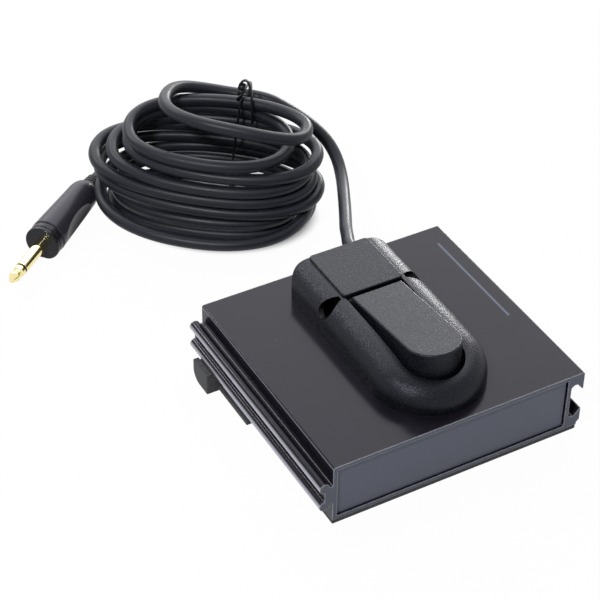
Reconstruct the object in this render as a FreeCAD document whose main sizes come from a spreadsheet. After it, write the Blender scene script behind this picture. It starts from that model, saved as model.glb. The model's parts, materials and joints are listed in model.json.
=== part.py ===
import FreeCAD, Part
import math
import os
import Sketcher

V = FreeCAD.Vector

# Foot switch: a momentary pedal on an extruded box that links to its neighbours side by side.
# Millimetres. Origin: centre of the rubber mat's underside. +Z up, +X to the channel side, +Y to the cord.
SIZES = {
    # Extruded box
    "mat_width": 126.8,
    "mat_thick": 2.2,
    "tray_depth": 122.0,
    "tray_width": 122.1,
    "tray_top": 33.0,
    "top_wall": 2.0,
    "floor_wall": 1.8,
    "left_wall": 2.2,
    "right_wall": 2.0,
    "edge_round": 1.0,
    # Channel on the right side and tongue on the left side
    "rail_reach": 6.5,
    "rail_mid": 17.65,
    "rail_mouth": 11.7,
    "rail_chamber": 18.8,
    "rail_lip": 0.5,
    "rail_corner": 1.6,
    "rail_foot": 2.9,
    "foot_step": 1.5,
    "foot_slope": 1.6,
    "tongue_reach": 6.5,
    "bead_radius": 2.5,
    "bead_gap": 10.2,
    # End plates
    "end_thick": 2.0,
    "end_recess": 1.0,
    "end_gap": 0.25,
    "end_side_gap": 0.6,
    "end_round": 3.0,
    "lug_length": 9.0,
    "lug_width": 12.0,
    "lug_thick": 1.4,
    # Rubber block beside the tongue
    "block_out": 9.6,
    "block_front": 38.0,
    "block_back": 52.0,
    "block_tall": 11.3,
    "block_round": 6.0,
    "flange_front": 11.0,
    "flange_out": 3.3,
    "block_screw_z": 6.9,
    "block_gap": 0.25,
    "insert_wall": 0.7,
    "insert_deep": 2.0,
    # Switch shell, with its heights above the box
    "switch_x": 1.7,
    "shell_half": 27.5,
    "shell_rear": 49.8,
    "shell_nose": -28.3,
    "shell_wall": 2.4,
    "shell_tall": 17.0,
    "shoulder_round": 12.0,
    "rear_round": 8.0,
    "crown_start": -1.0,
    "crown_power": 2.2,
    "nose_tall": 12.5,
    "nose_round": 9.4,
    "raised_side": 0.7,
    "raised_tall": 18.2,
    "raised_front": 16.8,
    "raised_wall": 1.8,
    "raised_corner": 2.0,
    "raised_edge": 0.6,
    # Treadle and its pocket, with their heights above the box
    "pocket_half": 15.0,
    "pocket_nose": -32.4,
    "pocket_wall": 2.0,
    "pocket_low": 6.5,
    "treadle_gap": 1.9,
    "treadle_rear_gap": 2.3,
    "treadle_rear_tall": 18.3,
    "treadle_tilt": 6.6,
    "treadle_low": 10.0,
    "treadle_top_wall": 2.2,
    "treadle_skirt": 1.8,
    "treadle_edge": 0.9,
    "pin_behind": 3.5,
    "pin_tall": 13.0,
    "pin_radius": 1.5,
    "pin_fit": 0.04,
    "ear_round": 2.9,
    "ear_width": 3.5,
    "access_radius": 4.1,
    # Base plate, spring and snap switch
    "base_thick": 2.5,
    "base_gap": 0.2,
    "spring_arm": 43.0,
    "spring_radius": 4.0,
    "spring_wire": 0.9,
    "spring_turns": 7,
    "spring_length": 17.0,
    "seat_tall": 1.5,
    "snap_length": 19.8,
    "snap_width": 6.4,
    "snap_stand": 3.5,
    "snap_tall": 6.5,
    "rib_thick": 1.4,
    "stop_thick": 1.2,
    "stop_gap": 0.05,
    "stop_tall": 2.5,
    "plunger_arm": 12.0,
    "plunger_ahead": 4.0,
    "plunger_radius": 1.2,
    "plunger_out": 1.5,
    "plunger_deep": 1.7,
    "plunger_fit": 0.05,
    "press_gap": 0.05,
    "nub_radius": 1.5,
    "leg_width": 0.8,
    "leg_depth": 0.5,
    "leg_inset": 2.8,
    # Screws
    "screw_radius": 1.5,
    "screw_head": 2.7,
    "screw_head_tall": 1.8,
    "screw_fit": 0.2,
    "boss_radius": 3.4,
    "boss_x": 20.6,
    "boss_front": -22.0,
    "boss_rear": 36.0,
    "boss_deep": 6.5,
    "access_hole": 4.0,
    # Cord
    "cord_radius": 3.15,
    "cord_side": 10.4,
    "cord_tall": 9.5,
    "cord_inside": 13.0,
    "lead_start": 7.2,
    "bush_radius": 4.6,
    "bush_flange": 5.6,
    "bush_thick": 1.6,
    "clamp_inset": 4.8,
    "clamp_length": 5.0,
    "clamp_half": 7.5,
    "clamp_thick": 1.6,
    "clamp_screw_inset": 1.9,
    "clamp_screw": 0.9,
    "clamp_screw_deep": 3.0,
    "clamp_head": 1.4,
    "clamp_head_tall": 1.1,
    "wire_radius": 0.55,
    "coil_x": -4.5,
    "coil_y": 165.6,
    "coil_turn": 41.0,
    "tie_radius": 0.9,
    "tie_bend": 2.6,
    # Plug
    "plug_tip_x": -123.3,
    "plug_tip_y": 148.4,
    "plug_turn": 38.9,
    "plug_axis_z": 8.25,
    "pin_length": 31.5,
    "pin_shaft": 3.175,
    "tip_length": 9.4,
    "ring_length": 1.2,
    "tip_step": 0.2,
    "ring_step": 0.35,
    "neck_step": 0.3,
    "plug_core": 1.1,
    "plug_tube": 1.9,
    "collar_length": 6.5,
    "collar_radius": 9.2,
    "flange_length": 2.4,
    "barrel_length": 43.5,
    "barrel_radius": 9.3,
    "barrel_rear_radius": 7.9,
    "barrel_bore": 5.2,
    "boot_length": 9.0,
    "boot_radius": 4.9,
    "scoop_middle": 19.5,
    "scoop_half": 24.0,
    "scoop_radius": 12.0,
    "scoop_out": 6.3,
    # Slack between a part and the hole that it sits in
    "fit": 0.03,
}

# Coil: how far each turn reaches from the coil's middle, from the top turn down, and how high it lies.
COIL_BACK = [32.7, 20.4, 23.0, 24.3, 25.5, 26.0, 28.0, 29.0, 20.2, 35.0]
COIL_LEFT = [24.5, 41.2, 42.2, 50.8, 60.6, 58.4, 55.5, 49.8, 52.6]
COIL_FRONT = [21.0, 28.2, 27.2, 30.2, 29.6, 29.1, 45.0, 29.3, 26.9]
COIL_RIGHT = [48.6, 39.8, 54.3, 49.5, 51.4, 55.0, 51.0, 43.3, 50.0]
COIL_BACK_Z = [49.4, 52.8, 46.1, 38.8, 31.9, 25.0, 18.3, 10.5, 5.2, 5.3]
COIL_LEFT_Z = [62.1, 49.1, 41.3, 36.2, 30.2, 23.0, 15.8, 10.4, 3.2]
COIL_FRONT_Z = [64.8, 46.6, 39.2, 33.1, 26.4, 19.2, 10.6, 12.2, 3.3]
COIL_RIGHT_Z = [54.2, 45.5, 40.3, 32.4, 25.6, 19.3, 12.6, 10.3, 4.6]


class Size:
    """A number together with the sheet formula that gives it."""

    def __init__(self, value, text):
        self.value = value
        self.text = text

    def __float__(self):
        return self.value

    def __add__(self, other):
        return joined(self, "+", other)

    def __radd__(self, other):
        return joined(other, "+", self)

    def __sub__(self, other):
        return joined(self, "-", other)

    def __rsub__(self, other):
        return joined(other, "-", self)

    def __mul__(self, other):
        return joined(self, "*", other)

    def __rmul__(self, other):
        return joined(other, "*", self)

    def __truediv__(self, other):
        return joined(self, "/", other)

    def __neg__(self):
        return joined(0, "-", self)


def formula(size):
    return size.text if isinstance(size, Size) else repr(float(size))


def joined(left, sign, right):
    a = float(left)
    b = float(right)
    results = {"+": a + b, "-": a - b, "*": a * b}
    value = a / b if sign == "/" else results[sign]
    return Size(value, "(%s %s %s)" % (formula(left), sign, formula(right)))


doc = FreeCAD.newDocument("foot_switch")
sheet = doc.addObject("Spreadsheet::Sheet", "sizes")
for line, (word, number) in enumerate(SIZES.items(), start=1):
    sheet.set("A%d" % line, word)
    sheet.set("B%d" % line, str(number))
    sheet.setAlias("B%d" % line, word)
doc.recompute()
s = {word: Size(float(sheet.get(word)), "sizes." + word) for word in SIZES}
pieces = []


def bind(thing, **links):
    """Ties the named properties of an object to the sheet; x, y and z are its position."""
    for word, size in links.items():
        name = "Placement.Base." + word if word in ("x", "y", "z") else word
        thing.setExpression(name, formula(size))
    return thing


def keep(thing, node):
    """Names the object as one of the part's nodes."""
    thing.Label = node
    pieces.append(thing)
    return thing


def block(name, x0, x1, y0, y1, z0, z1):
    thing = doc.addObject("Part::Box", name)
    return bind(thing, x=x0, y=y0, z=z0, Length=x1 - x0, Width=y1 - y0, Height=z1 - z0)


TURNED = {
    "X": FreeCAD.Rotation(V(0, 1, 0), 90),
    "Y": FreeCAD.Rotation(V(1, 0, 0), -90),
    "Z": FreeCAD.Rotation(),
}


def rod(name, axis, x, y, z, radius, length):
    """A cylinder that starts at x, y, z and runs along +X, +Y or +Z."""
    thing = doc.addObject("Part::Cylinder", name)
    thing.Placement.Rotation = TURNED[axis]
    return bind(thing, x=x, y=y, z=z, Radius=radius, Height=length)


def fused(name, *parts):
    thing = doc.addObject("Part::MultiFuse", name)
    thing.Shapes = list(parts)
    thing.Refine = True
    return thing


def holed(name, base, *tools):
    thing = doc.addObject("Part::Cut", name)
    thing.Base = base
    thing.Tool = tools[0] if len(tools) == 1 else fused(name + "_tools", *tools)
    return thing


def featured(name, shape):
    thing = doc.addObject("Part::Feature", name)
    thing.Shape = shape
    return thing


def wire_of(points, place):
    """A closed wire; a point given as a pair of points is an arc through the first to the second."""
    edges = []
    first = last = place(points[0])
    for point in list(points[1:]) + [points[0]]:
        if isinstance(point[0], tuple):
            through, end = place(point[0]), place(point[1])
            edges.append(Part.Arc(last, through, end).toShape())
        else:
            end = place(point)
            if last.distanceToPoint(end) > 1e-6:
                edges.append(Part.LineSegment(last, end).toShape())
        last = end
    return Part.Wire(edges)


def prism(points, axis, low, high):
    """A solid with the given outline, from low to high along the axis X, Y or Z."""
    low, high = float(low), float(high)
    places = {
        "X": (lambda p: V(low, float(p[0]), float(p[1])), V(high - low, 0, 0)),
        "Y": (lambda p: V(float(p[0]), low, float(p[1])), V(0, high - low, 0)),
        "Z": (lambda p: V(float(p[0]), float(p[1]), low), V(0, 0, high - low)),
    }
    place, along = places[axis]
    return Part.Face(wire_of(points, place)).extrude(along)


def origin_plane(body, role):
    return [thing for thing in body.Origin.OriginFeatures if thing.Role == role][0]


def new_body(node):
    return keep(doc.addObject("PartDesign::Body", node), node)


def add_outline(sketch, points):
    """Adds a closed run of straight lines to a sketch, each corner tied to the sheet."""
    count = len(points)
    base = sketch.GeometryCount
    for index in range(count):
        a, b = points[index], points[(index + 1) % count]
        start = V(float(a[0]), float(a[1]), 0)
        end = V(float(b[0]), float(b[1]), 0)
        sketch.addGeometry(Part.LineSegment(start, end))
    for index in range(count):
        after = base + (index + 1) % count
        sketch.addConstraint(Sketcher.Constraint("Coincident", base + index, 2, after, 1))
    for index, point in enumerate(points):
        for kind, size in zip(("DistanceX", "DistanceY"), point):
            rule = Sketcher.Constraint(kind, -1, 1, base + index, 1, float(size))
            number = sketch.addConstraint(rule)
            if isinstance(size, Size):
                sketch.setExpression("Constraints[%d]" % number, size.text)


def new_sketch(body, role, name):
    sketch = body.newObject("Sketcher::SketchObject", name)
    sketch.AttachmentSupport = (origin_plane(body, role), [""])
    sketch.MapMode = "FlatFace"
    return sketch


def outline(body, role, points):
    sketch = new_sketch(body, role, body.Name + "_outline")
    add_outline(sketch, points)
    return sketch


def padded(node, role, points, length, **place):
    """A body: one outline raised by a length, toward -Y where it stands on the XZ plane."""
    body = new_body(node)
    pad = body.newObject("PartDesign::Pad", body.Name + "_pad")
    pad.Profile = outline(body, role, points)
    bind(pad, Length=length)
    bind(body, **place)
    return body, pad


def rounded(body, base, radius, wanted):
    """Rounds the edges of a feature whose middle passes the test."""
    doc.recompute()
    names = []
    for number, edge in enumerate(base.Shape.Edges, start=1):
        if wanted(edge.CenterOfMass, edge):
            names.append("Edge%d" % number)
    fillet = body.newObject("PartDesign::Fillet", base.Name + "_round")
    fillet.Base = (base, names)
    bind(fillet, Radius=radius)
    return fillet


def turned(node, points, rotation=None, **place):
    """A body turned about its own Z axis from an outline of radius and height."""
    body = new_body(node)
    sketch = outline(body, "XZ_Plane", points)
    spin = body.newObject("PartDesign::Revolution", body.Name + "_spin")
    spin.Profile = sketch
    spin.ReferenceAxis = (sketch, ["V_Axis"])
    spin.Angle = 360
    if rotation is not None:
        body.Placement.Rotation = rotation
    bind(body, **place)
    return body


def rect(x0, x1, y0, y1):
    return [(x0, y0), (x1, y0), (x1, y1), (x0, y1)]


# Box: outer and inner faces
left = -s["mat_width"] / 2
right = left + s["tray_width"]
front = -s["tray_depth"] / 2
rear = s["tray_depth"] / 2
top = s["tray_top"]
low = s["mat_thick"]
inner_left = left + s["left_wall"]
inner_right = right - s["right_wall"]
inner_low = low + s["floor_wall"]
inner_top = top - s["top_wall"]
shell_x = s["switch_x"]
shell_base = top
rear_face = s["shell_rear"]
shell_top = shell_base + s["shell_tall"]
raised_top = shell_base + s["raised_tall"]
nose_top = shell_base + s["nose_tall"]
pocket_low = shell_base + s["pocket_low"]
block_half = s["pocket_half"] + s["raised_side"]
treadle_half = s["pocket_half"] - s["treadle_gap"]
treadle_rear = s["raised_front"] - s["treadle_rear_gap"]
treadle_rear_top = shell_base + s["treadle_rear_tall"]
treadle_low = shell_base + s["treadle_low"]
pin_y = treadle_rear + s["pin_behind"]
pin_z = shell_base + s["pin_tall"]
floor = shell_base + s["base_thick"]
spring_y = pin_y - s["spring_arm"]
spring_top = floor + s["spring_length"]
plunger_y = pin_y - s["plunger_arm"]
snap_y = plunger_y - s["plunger_ahead"]
snap_low = floor + s["snap_stand"]
snap_top = snap_low + s["snap_tall"]
plunger_top = snap_top + s["plunger_out"]
cord_x = shell_x + s["cord_side"]
cord_z = shell_base + s["cord_tall"]
clamp_back = rear_face - s["clamp_inset"]
clamp_front = clamp_back - s["clamp_length"]
clamp_middle = (clamp_front + clamp_back) / 2
clamp_half = s["clamp_half"]
clamp_thick = s["clamp_thick"]
clamp_reach = clamp_half - s["clamp_screw_inset"]
plug_length = s["pin_length"] + s["collar_length"] + s["barrel_length"] + s["boot_length"]
screw_spots = [
    (s["switch_x"] + side * s["boss_x"], along)
    for side in (-1, 1)
    for along in (s["boss_front"], s["boss_rear"])
]


def tray_section():
    """The extrusion's outer outline, from the left foot over the top to the channel's lower lip."""
    r = float(s["edge_round"])
    k = r * (1 - math.sqrt(0.5))
    x, w, m, t = float(left), float(right), float(low), float(top)
    out = w + float(s["rail_reach"])
    lip = out - float(s["rail_lip"])
    mid = float(s["rail_mid"])
    mouth = float(s["rail_mouth"]) / 2
    deep = float(s["rail_chamber"]) / 2
    corner = float(s["rail_corner"])
    foot = m + float(s["rail_foot"])
    step = out - float(s["foot_step"])
    heel = w + float(s["rail_reach"]) / 2
    bend = w + float(s["rail_reach"]) / 4
    return [
        (x, m),
        (x, t - r),
        ((x + k, t - k), (x + r, t)),
        (out - r, t),
        ((out - k, t - k), (out, t - r)),
        (out, mid + mouth),
        (lip, mid + mouth),
        (heel, mid + deep - 0.1),
        ((bend, mid + deep), (w, mid + deep - corner)),
        (w, mid - deep + corner),
        ((bend, mid - deep), (heel, mid - deep + 0.1)),
        (lip, mid - mouth),
        (out, mid - mouth),
        (out, foot),
        (step, foot - float(s["foot_slope"])),
        (step, m),
    ]


def make_profile():
    shell = featured("profile_shell", prism(tray_section(), "Y", front, rear))
    hollow = block(
        "profile_hollow",
        inner_left, inner_right, front - 1, rear + 1, inner_low, inner_top,
    )
    tube = holed("profile_tube", shell, hollow)
    bead_x = left - s["tongue_reach"] + s["bead_radius"]
    high = s["rail_mid"] + s["bead_gap"] / 2
    deep = s["rail_mid"] - s["bead_gap"] / 2
    depth = s["tray_depth"]
    stem = block("tongue_stem", bead_x, left + s["left_wall"] / 2, front, rear, deep, high)
    upper = rod("tongue_upper", "Y", bead_x, front, high, s["bead_radius"], depth)
    lower = rod("tongue_lower", "Y", bead_x, front, deep, s["bead_radius"], depth)
    solid = fused("profile_solid", tube, stem, upper, lower)
    holes = []
    for number, (x, y) in enumerate(screw_spots, start=1):
        clear = s["screw_radius"] + s["screw_fit"]
        holes.append(rod("plate_hole_%d" % number, "Z", x, y, inner_top - 1, clear, s["top_wall"] + 2))
        holes.append(rod("floor_hole_%d" % number, "Z", x, y, low - 1, s["access_hole"], s["floor_wall"] + 2))
    middle = (s["block_front"] + s["block_back"]) / 2
    holes.append(rod(
        "side_hole", "X", left - 1, middle, s["block_screw_z"],
        s["screw_radius"] + s["screw_fit"], s["left_wall"] + 2,
    ))
    keep(holed("profile_cut", solid, *holes), "profile")


def make_end_plates():
    """Pressed plates just inside the box's two mouths, each held by four folded lugs."""
    x0 = inner_left + s["end_gap"]
    x1 = inner_right - s["end_side_gap"]
    z0 = inner_low + s["end_gap"]
    z1 = inner_top - s["end_gap"]
    for node, side in (("front_end_plate", -1), ("rear_end_plate", 1)):
        outer = side * (s["tray_depth"] / 2 - s["end_recess"])
        body, pad = padded(node, "XZ_Plane", rect(x0, x1, z0, z1), s["end_thick"])
        bind(body, y=outer if side > 0 else outer + s["end_thick"])
        corner = float(x0)
        height = float(z1)
        rounded(body, pad, s["end_round"], lambda m, e: abs(m.x - corner) < 0.1 and abs(m.z - height) < 0.1)
        lugs = body.newObject("PartDesign::Pad", node + "_lugs")
        sketch = new_sketch(body, "XZ_Plane", node + "_lug_outline")
        spots = []
        for x in (x0 + s["lug_width"], x1 - 2 * s["lug_width"]):
            spots.append(rect(x, x + s["lug_width"], inner_low, inner_low + s["lug_thick"]))
            spots.append(rect(x, x + s["lug_width"], inner_top - s["lug_thick"], inner_top))
        for points in spots:
            add_outline(sketch, points)
        lugs.Profile = sketch
        bind(lugs, Length=s["lug_length"])
        lugs.Reversed = side < 0
        body.Tip = lugs


def make_rubber():
    """The mat under the box and the moulded block that fills the tongue's side near the back."""
    padded("rubber_mat", "XY_Plane", rect(left, -left, front, rear), low)
    out = left - s["block_out"]
    under = s["rail_mid"] - s["bead_gap"] / 2 - s["bead_radius"] - s["block_gap"]
    step = left - s["tongue_reach"] - s["block_gap"]
    body, pad = padded(
        "side_block", "XZ_Plane",
        [(out, 0), (left, 0), (left, under), (step, under), (step, s["block_tall"]), (out, s["block_tall"])],
        s["block_back"] - s["block_front"],
    )
    bind(body, y=s["block_back"])
    rounded(body, pad, s["block_round"], lambda m, e: abs(m.y) < 0.1 and abs(m.z) < 0.1 and e.Length > 5)
    flange = body.newObject("PartDesign::Pad", "side_block_flange")
    sketch = new_sketch(body, "XY_Plane", "side_block_flange_outline")
    span = s["block_back"] - s["flange_front"]
    add_outline(sketch, rect(left - s["flange_out"], left, -span, -s["block_round"]))
    flange.Profile = sketch
    bind(flange, Length=low)
    body.Tip = flange
    middle = (s["block_front"] + s["block_back"]) / 2
    mouth = out + s["insert_deep"]
    sleeve_radius = s["screw_radius"] + s["insert_wall"]
    hole = rod("insert_hole", "X", mouth, middle, s["block_screw_z"], sleeve_radius, s["block_out"])
    pieces.remove(body)
    body.Label = "side_block_body"
    keep(holed("side_block_cut", body, hole), "side_block")
    sleeve = rod(
        "insert_sleeve", "X", mouth, middle, s["block_screw_z"],
        sleeve_radius, s["block_out"] - s["insert_deep"],
    )
    thread = rod(
        "insert_thread", "X", mouth + 0.5, middle, s["block_screw_z"],
        s["screw_radius"] + s["fit"], s["block_out"],
    )
    keep(holed("insert_cut", sleeve, thread), "side_block_insert")
    shank = rod(
        "side_shank", "X", mouth + 1, middle, s["block_screw_z"],
        s["screw_radius"], left + s["left_wall"] - mouth - 1,
    )
    head = rod(
        "side_head", "X", inner_left, middle, s["block_screw_z"],
        s["screw_head"], s["screw_head_tall"],
    )
    keep(fused("side_screw_solid", shank, head), "side_block_screw")


def shell_plan(inset, x_half, low_z, high_z):
    """The shell's plan shape: a half circle at the front and two rounded corners at the back."""
    x, y0, y1 = float(shell_x), float(s["shell_nose"]), float(rear_face) - inset
    r = float(s["rear_round"]) - inset
    k = r * (1 - math.sqrt(0.5))
    points = [
        (x - x_half, y0),
        ((x, y0 - x_half), (x + x_half, y0)),
        (x + x_half, y1 - r),
        ((x + x_half - k, y1 - k), (x + x_half - r, y1)),
        (x - x_half + r, y1),
        ((x - x_half + k, y1 - k), (x - x_half, y1 - r)),
    ]
    return prism(points, "Z", low_z, high_z)


def shell_section(inset, base, share):
    """Half of the shell's upright section, as distance out and height; share is how far the nose is reached."""
    half = float(s["shell_half"]) - inset
    ridge = float(shell_top) - share * float(shell_top - nose_top)
    shoulder = float(s["shoulder_round"]) - share * float(s["shoulder_round"] - s["nose_round"])
    flat = float(s["shell_half"]) - shoulder
    spring = ridge - shoulder
    c = (shoulder - inset) * math.sqrt(0.5)
    return [(half, base), (half, spring), ((flat + c, spring + c), (flat, ridge - inset))]


def shell_front(inset, base):
    """The shell's front round the pocket, lower and rounder toward the nose: two straight runs and a half turn."""
    x, y0 = float(shell_x), float(s["shell_nose"])
    start = float(s["crown_start"])
    reach = y0 - float(s["pocket_nose"] - s["pocket_half"])
    inner = 0.8 * float(s["pocket_half"])

    def loft(places):
        wires = []
        for spot, out, y in places:
            share = max(0.0, (start - y) / (start - y0 + reach)) ** float(s["crown_power"])
            bank = shell_section(inset, base, share)
            points = [(inner, base)] + bank + [(inner, bank[-1][-1][1])]
            wires.append(wire_of(points, lambda p, a=spot, b=out: a + b * float(p[0]) + V(0, 0, float(p[1]))))
        return Part.makeLoft(wires, True, False, False, 5)

    run = [start + (y0 - start) * step / 6 for step in range(7)]
    turns = [math.pi * step / 12 for step in range(13)]
    right = loft([(V(x, y, 0), V(1, 0, 0), y) for y in run])
    left = loft([(V(x, y, 0), V(-1, 0, 0), y) for y in run])
    nose = loft([
        (V(x, y0, 0), V(math.cos(turn), -math.sin(turn), 0), y0 - reach * math.sin(turn)) for turn in turns
    ])
    return nose.fuse([right, left])


def shell_solid(inset, base):
    """The shell's outer shape, or with an inset the hollow inside it."""
    x, start = float(shell_x), float(s["crown_start"])
    bank = shell_section(inset, base, 0.0)
    (_, _), (half, spring), ((arc_x, arc_z), (flat, ridge)) = bank
    section = [
        (x - half, base),
        (x + half, base),
        (x + half, spring),
        ((x + arc_x, arc_z), (x + flat, ridge)),
        (x - flat, ridge),
        ((x - arc_x, arc_z), (x - half, spring)),
    ]
    rear = prism(section, "Y", start, float(rear_face) - inset)
    rear = rear.common(shell_plan(inset, half, base - 1, ridge + 1))
    return rear.fuse(shell_front(inset, base))


def slot_prism(half, nose, back, z0, z1):
    """A plan shape with a half-round front and a square back, about the switch's middle."""
    x, half = float(shell_x), float(half)
    points = [(x - half, nose), ((x, float(nose) - half), (x + half, nose)), (x + half, back), (x - half, back)]
    return prism(points, "Z", z0, z1)


def make_shell():
    wall = float(s["shell_wall"])
    base = float(shell_base)
    x = float(shell_x)
    outer = shell_solid(0.0, base)
    solid = outer.cut(shell_solid(wall, base - 1))
    ceiling = float(shell_top) - wall
    half = float(block_half)
    y0, y1 = float(s["raised_front"]), float(rear_face)
    raised = Part.makeBox(2 * half, y1 - y0, float(raised_top) - ceiling, V(x - half, y0, ceiling))
    corners = [edge for edge in raised.Edges if abs(edge.tangentAt(0).z) > 0.9]
    raised = raised.makeFillet(float(s["raised_corner"]), corners)
    rim = [edge for edge in raised.Edges if abs(edge.CenterOfMass.z - float(raised_top)) < 0.01]
    raised = raised.makeFillet(float(s["raised_edge"]), rim)
    solid = solid.fuse(raised)
    thick = float(s["pocket_wall"])
    nose = float(s["pocket_nose"])
    low_z = float(pocket_low)
    skirt = slot_prism(float(s["pocket_half"]) + thick, nose, y0 + 6, low_z, 60).common(outer)
    solid = solid.fuse(skirt)
    for spot in screw_spots:
        boss = Part.makeCylinder(
            float(s["boss_radius"]), 20,
            V(float(spot[0]), float(spot[1]), float(floor)),
        )
        solid = solid.fuse(boss.common(outer))
    solid = solid.cut(slot_prism(s["pocket_half"], nose, y0, base - 1, 60))
    solid = solid.cut(slot_prism(s["pocket_half"], nose, y0 + 6.5, base - 1, ceiling))
    inner = half - float(s["raised_wall"])
    roof = float(raised_top - s["raised_wall"])
    solid = solid.cut(Part.makeBox(2 * inner, y1 - wall - y0 + 1, roof - base, V(x - inner, y0 - 1, base)))
    reach = float(s["pocket_half"]) + thick
    y, z = float(pin_y), float(pin_z)
    for start, way in ((x + reach, 1), (x - reach, -1)):
        solid = solid.cut(Part.makeCylinder(float(s["access_radius"]), 20, V(start, y, z), V(way, 0, 0)))
    pin = float(s["pin_radius"] + s["pin_fit"])
    solid = solid.cut(Part.makeCylinder(pin, 2 * reach + 2, V(x - reach - 1, y, z), V(1, 0, 0)))
    bore = V(float(cord_x), y1 - wall - 1, float(cord_z))
    solid = solid.cut(Part.makeCylinder(float(s["bush_radius"]), wall + 2, bore, V(0, 1, 0)))
    for spot in screw_spots:
        start = V(float(spot[0]), float(spot[1]), base)
        deep = float(s["base_thick"] + s["boss_deep"]) + 0.5
        solid = solid.cut(Part.makeCylinder(float(s["screw_radius"] + s["fit"]), deep, start))
    keep(featured("switch_shell", solid.removeSplitter()), "switch_shell")


def treadle_surface(y):
    """Height of the treadle's top at rest."""
    slope = math.tan(math.radians(float(s["treadle_tilt"])))
    return float(treadle_rear_top) + slope * (float(treadle_rear) - float(y))


def make_treadle():
    half = float(treadle_half)
    nose = float(s["pocket_nose"])
    back = float(treadle_rear)
    z0 = float(treadle_low)
    x = float(shell_x)
    far = nose - half - 2

    def wedge(drop, base):
        side = [
            (back + 5, base),
            (back + 5, treadle_surface(back + 5) - drop),
            (far, treadle_surface(far) - drop),
            (far, base),
        ]
        return prism(side, "X", x - half - 1, x + half + 1)

    solid = slot_prism(half, nose, back, z0, 80).common(wedge(0.0, z0 - 1))
    rim = [edge for edge in solid.Edges if edge.CenterOfMass.z > treadle_surface(edge.CenterOfMass.y) - 0.6]
    solid = solid.makeFillet(float(s["treadle_edge"]), rim)
    skirt = float(s["treadle_skirt"])
    hollow = slot_prism(half - skirt, nose, back - skirt, z0 - 1, 80)
    hollow = hollow.common(wedge(float(s["treadle_top_wall"]), z0 - 2))
    solid = solid.cut(hollow)
    y, z = float(pin_y), float(pin_z)
    ear = float(s["ear_width"])
    r = float(s["ear_round"])
    for start in (x - half, x + half - ear):
        arm = Part.makeBox(ear, y - back + skirt, 2 * r, V(start, back - skirt, z - r))
        knuckle = Part.makeCylinder(r, ear, V(start, y, z), V(1, 0, 0))
        solid = solid.fuse(arm.fuse(knuckle))
    pad = float(s["snap_width"]) / 2
    nub_radius = float(s["nub_radius"])
    tip = float(plunger_top + s["press_gap"]) + nub_radius
    press_y = float(plunger_y)
    nub = Part.makeCylinder(nub_radius, 2 * pad, V(x - pad, press_y, tip), V(1, 0, 0))
    web_top = treadle_surface(press_y) - 1.5
    web = Part.makeBox(2 * pad, 2 * nub_radius, web_top - tip, V(x - pad, press_y - nub_radius, tip))
    seat_y = float(spring_y)
    seat_low = float(spring_top)
    seat_top = treadle_surface(seat_y) - 1.6
    seat = Part.makeCylinder(float(s["spring_radius"]) + 1.2, seat_top - seat_low, V(x, seat_y, seat_low))
    solid = solid.fuse([nub, web, seat])
    pin = float(s["pin_radius"] + s["pin_fit"])
    solid = solid.cut(Part.makeCylinder(pin, 4 * half, V(x - 2 * half, y, z), V(1, 0, 0)))
    keep(featured("treadle_solid", solid.removeSplitter()), "treadle")
    reach = s["pocket_half"] + s["pocket_wall"]
    pin_rod = rod("pin_rod", "X", shell_x - reach, pin_y, pin_z, s["pin_radius"], 2 * reach)
    keep(pin_rod, "hinge_pin")


def make_base():
    """The plate that closes the shell from below, with its seats for the inner pieces."""
    gap = float(s["shell_wall"] + s["base_gap"])
    base = float(shell_base)
    plan = shell_plan(gap, float(s["shell_half"]) - gap, base, base + float(s["base_thick"]))
    plate = featured("base_plan", plan)
    parts = [plate]
    half = s["snap_width"] / 2
    for name, side in (("snap_rib_front", -1), ("snap_rib_rear", 1)):
        y = snap_y + side * (s["snap_length"] - s["rib_thick"]) / 2
        rib = s["rib_thick"] / 2
        parts.append(block(name, shell_x - half, shell_x + half, y - rib, y + rib, floor, snap_low))
        y = snap_y + side * (s["snap_length"] / 2 + s["stop_gap"] + s["stop_thick"] / 2)
        stop = s["stop_thick"] / 2
        high = snap_low + s["stop_tall"]
        parts.append(block(name + "_stop", shell_x - half, shell_x + half, y - stop, y + stop, floor, high))
    parts.append(rod(
        "spring_peg", "Z", shell_x, spring_y, floor,
        s["spring_radius"] - s["spring_wire"] / 2 - 0.3, s["seat_tall"],
    ))
    parts.append(block(
        "clamp_rest", cord_x - clamp_half, cord_x + clamp_half,
        clamp_front, clamp_back, floor, cord_z - s["cord_radius"],
    ))
    holes = []
    clear = s["screw_radius"] + s["screw_fit"]
    for number, (x, y) in enumerate(screw_spots, start=1):
        holes.append(rod("base_hole_%d" % number, "Z", x, y, shell_base - 1, clear, s["base_thick"] + 2))
    for number, side in enumerate((-1, 1), start=1):
        holes.append(rod(
            "clamp_hole_%d" % number, "Z", cord_x + side * clamp_reach, clamp_middle,
            floor + 0.5, s["clamp_screw"] + s["fit"], s["cord_tall"],
        ))
    keep(holed("base_cut", fused("base_solid", *parts), *holes), "switch_base")


def make_screws():
    """Four screws clamp the box's top wall and the base plate to the shell."""
    parts = []
    for number, (x, y) in enumerate(screw_spots, start=1):
        length = s["top_wall"] + s["base_thick"] + s["boss_deep"]
        parts.append(fused(
            "mount_screw_%d" % number,
            rod("mount_shank_%d" % number, "Z", x, y, inner_top, s["screw_radius"], length),
            rod(
                "mount_head_%d" % number, "Z", x, y, inner_top - s["screw_head_tall"],
                s["screw_head"], s["screw_head_tall"],
            ),
        ))
    group = doc.addObject("Part::Compound", "mount_screw_group")
    group.Links = parts
    keep(group, "mount_screws")


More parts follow.
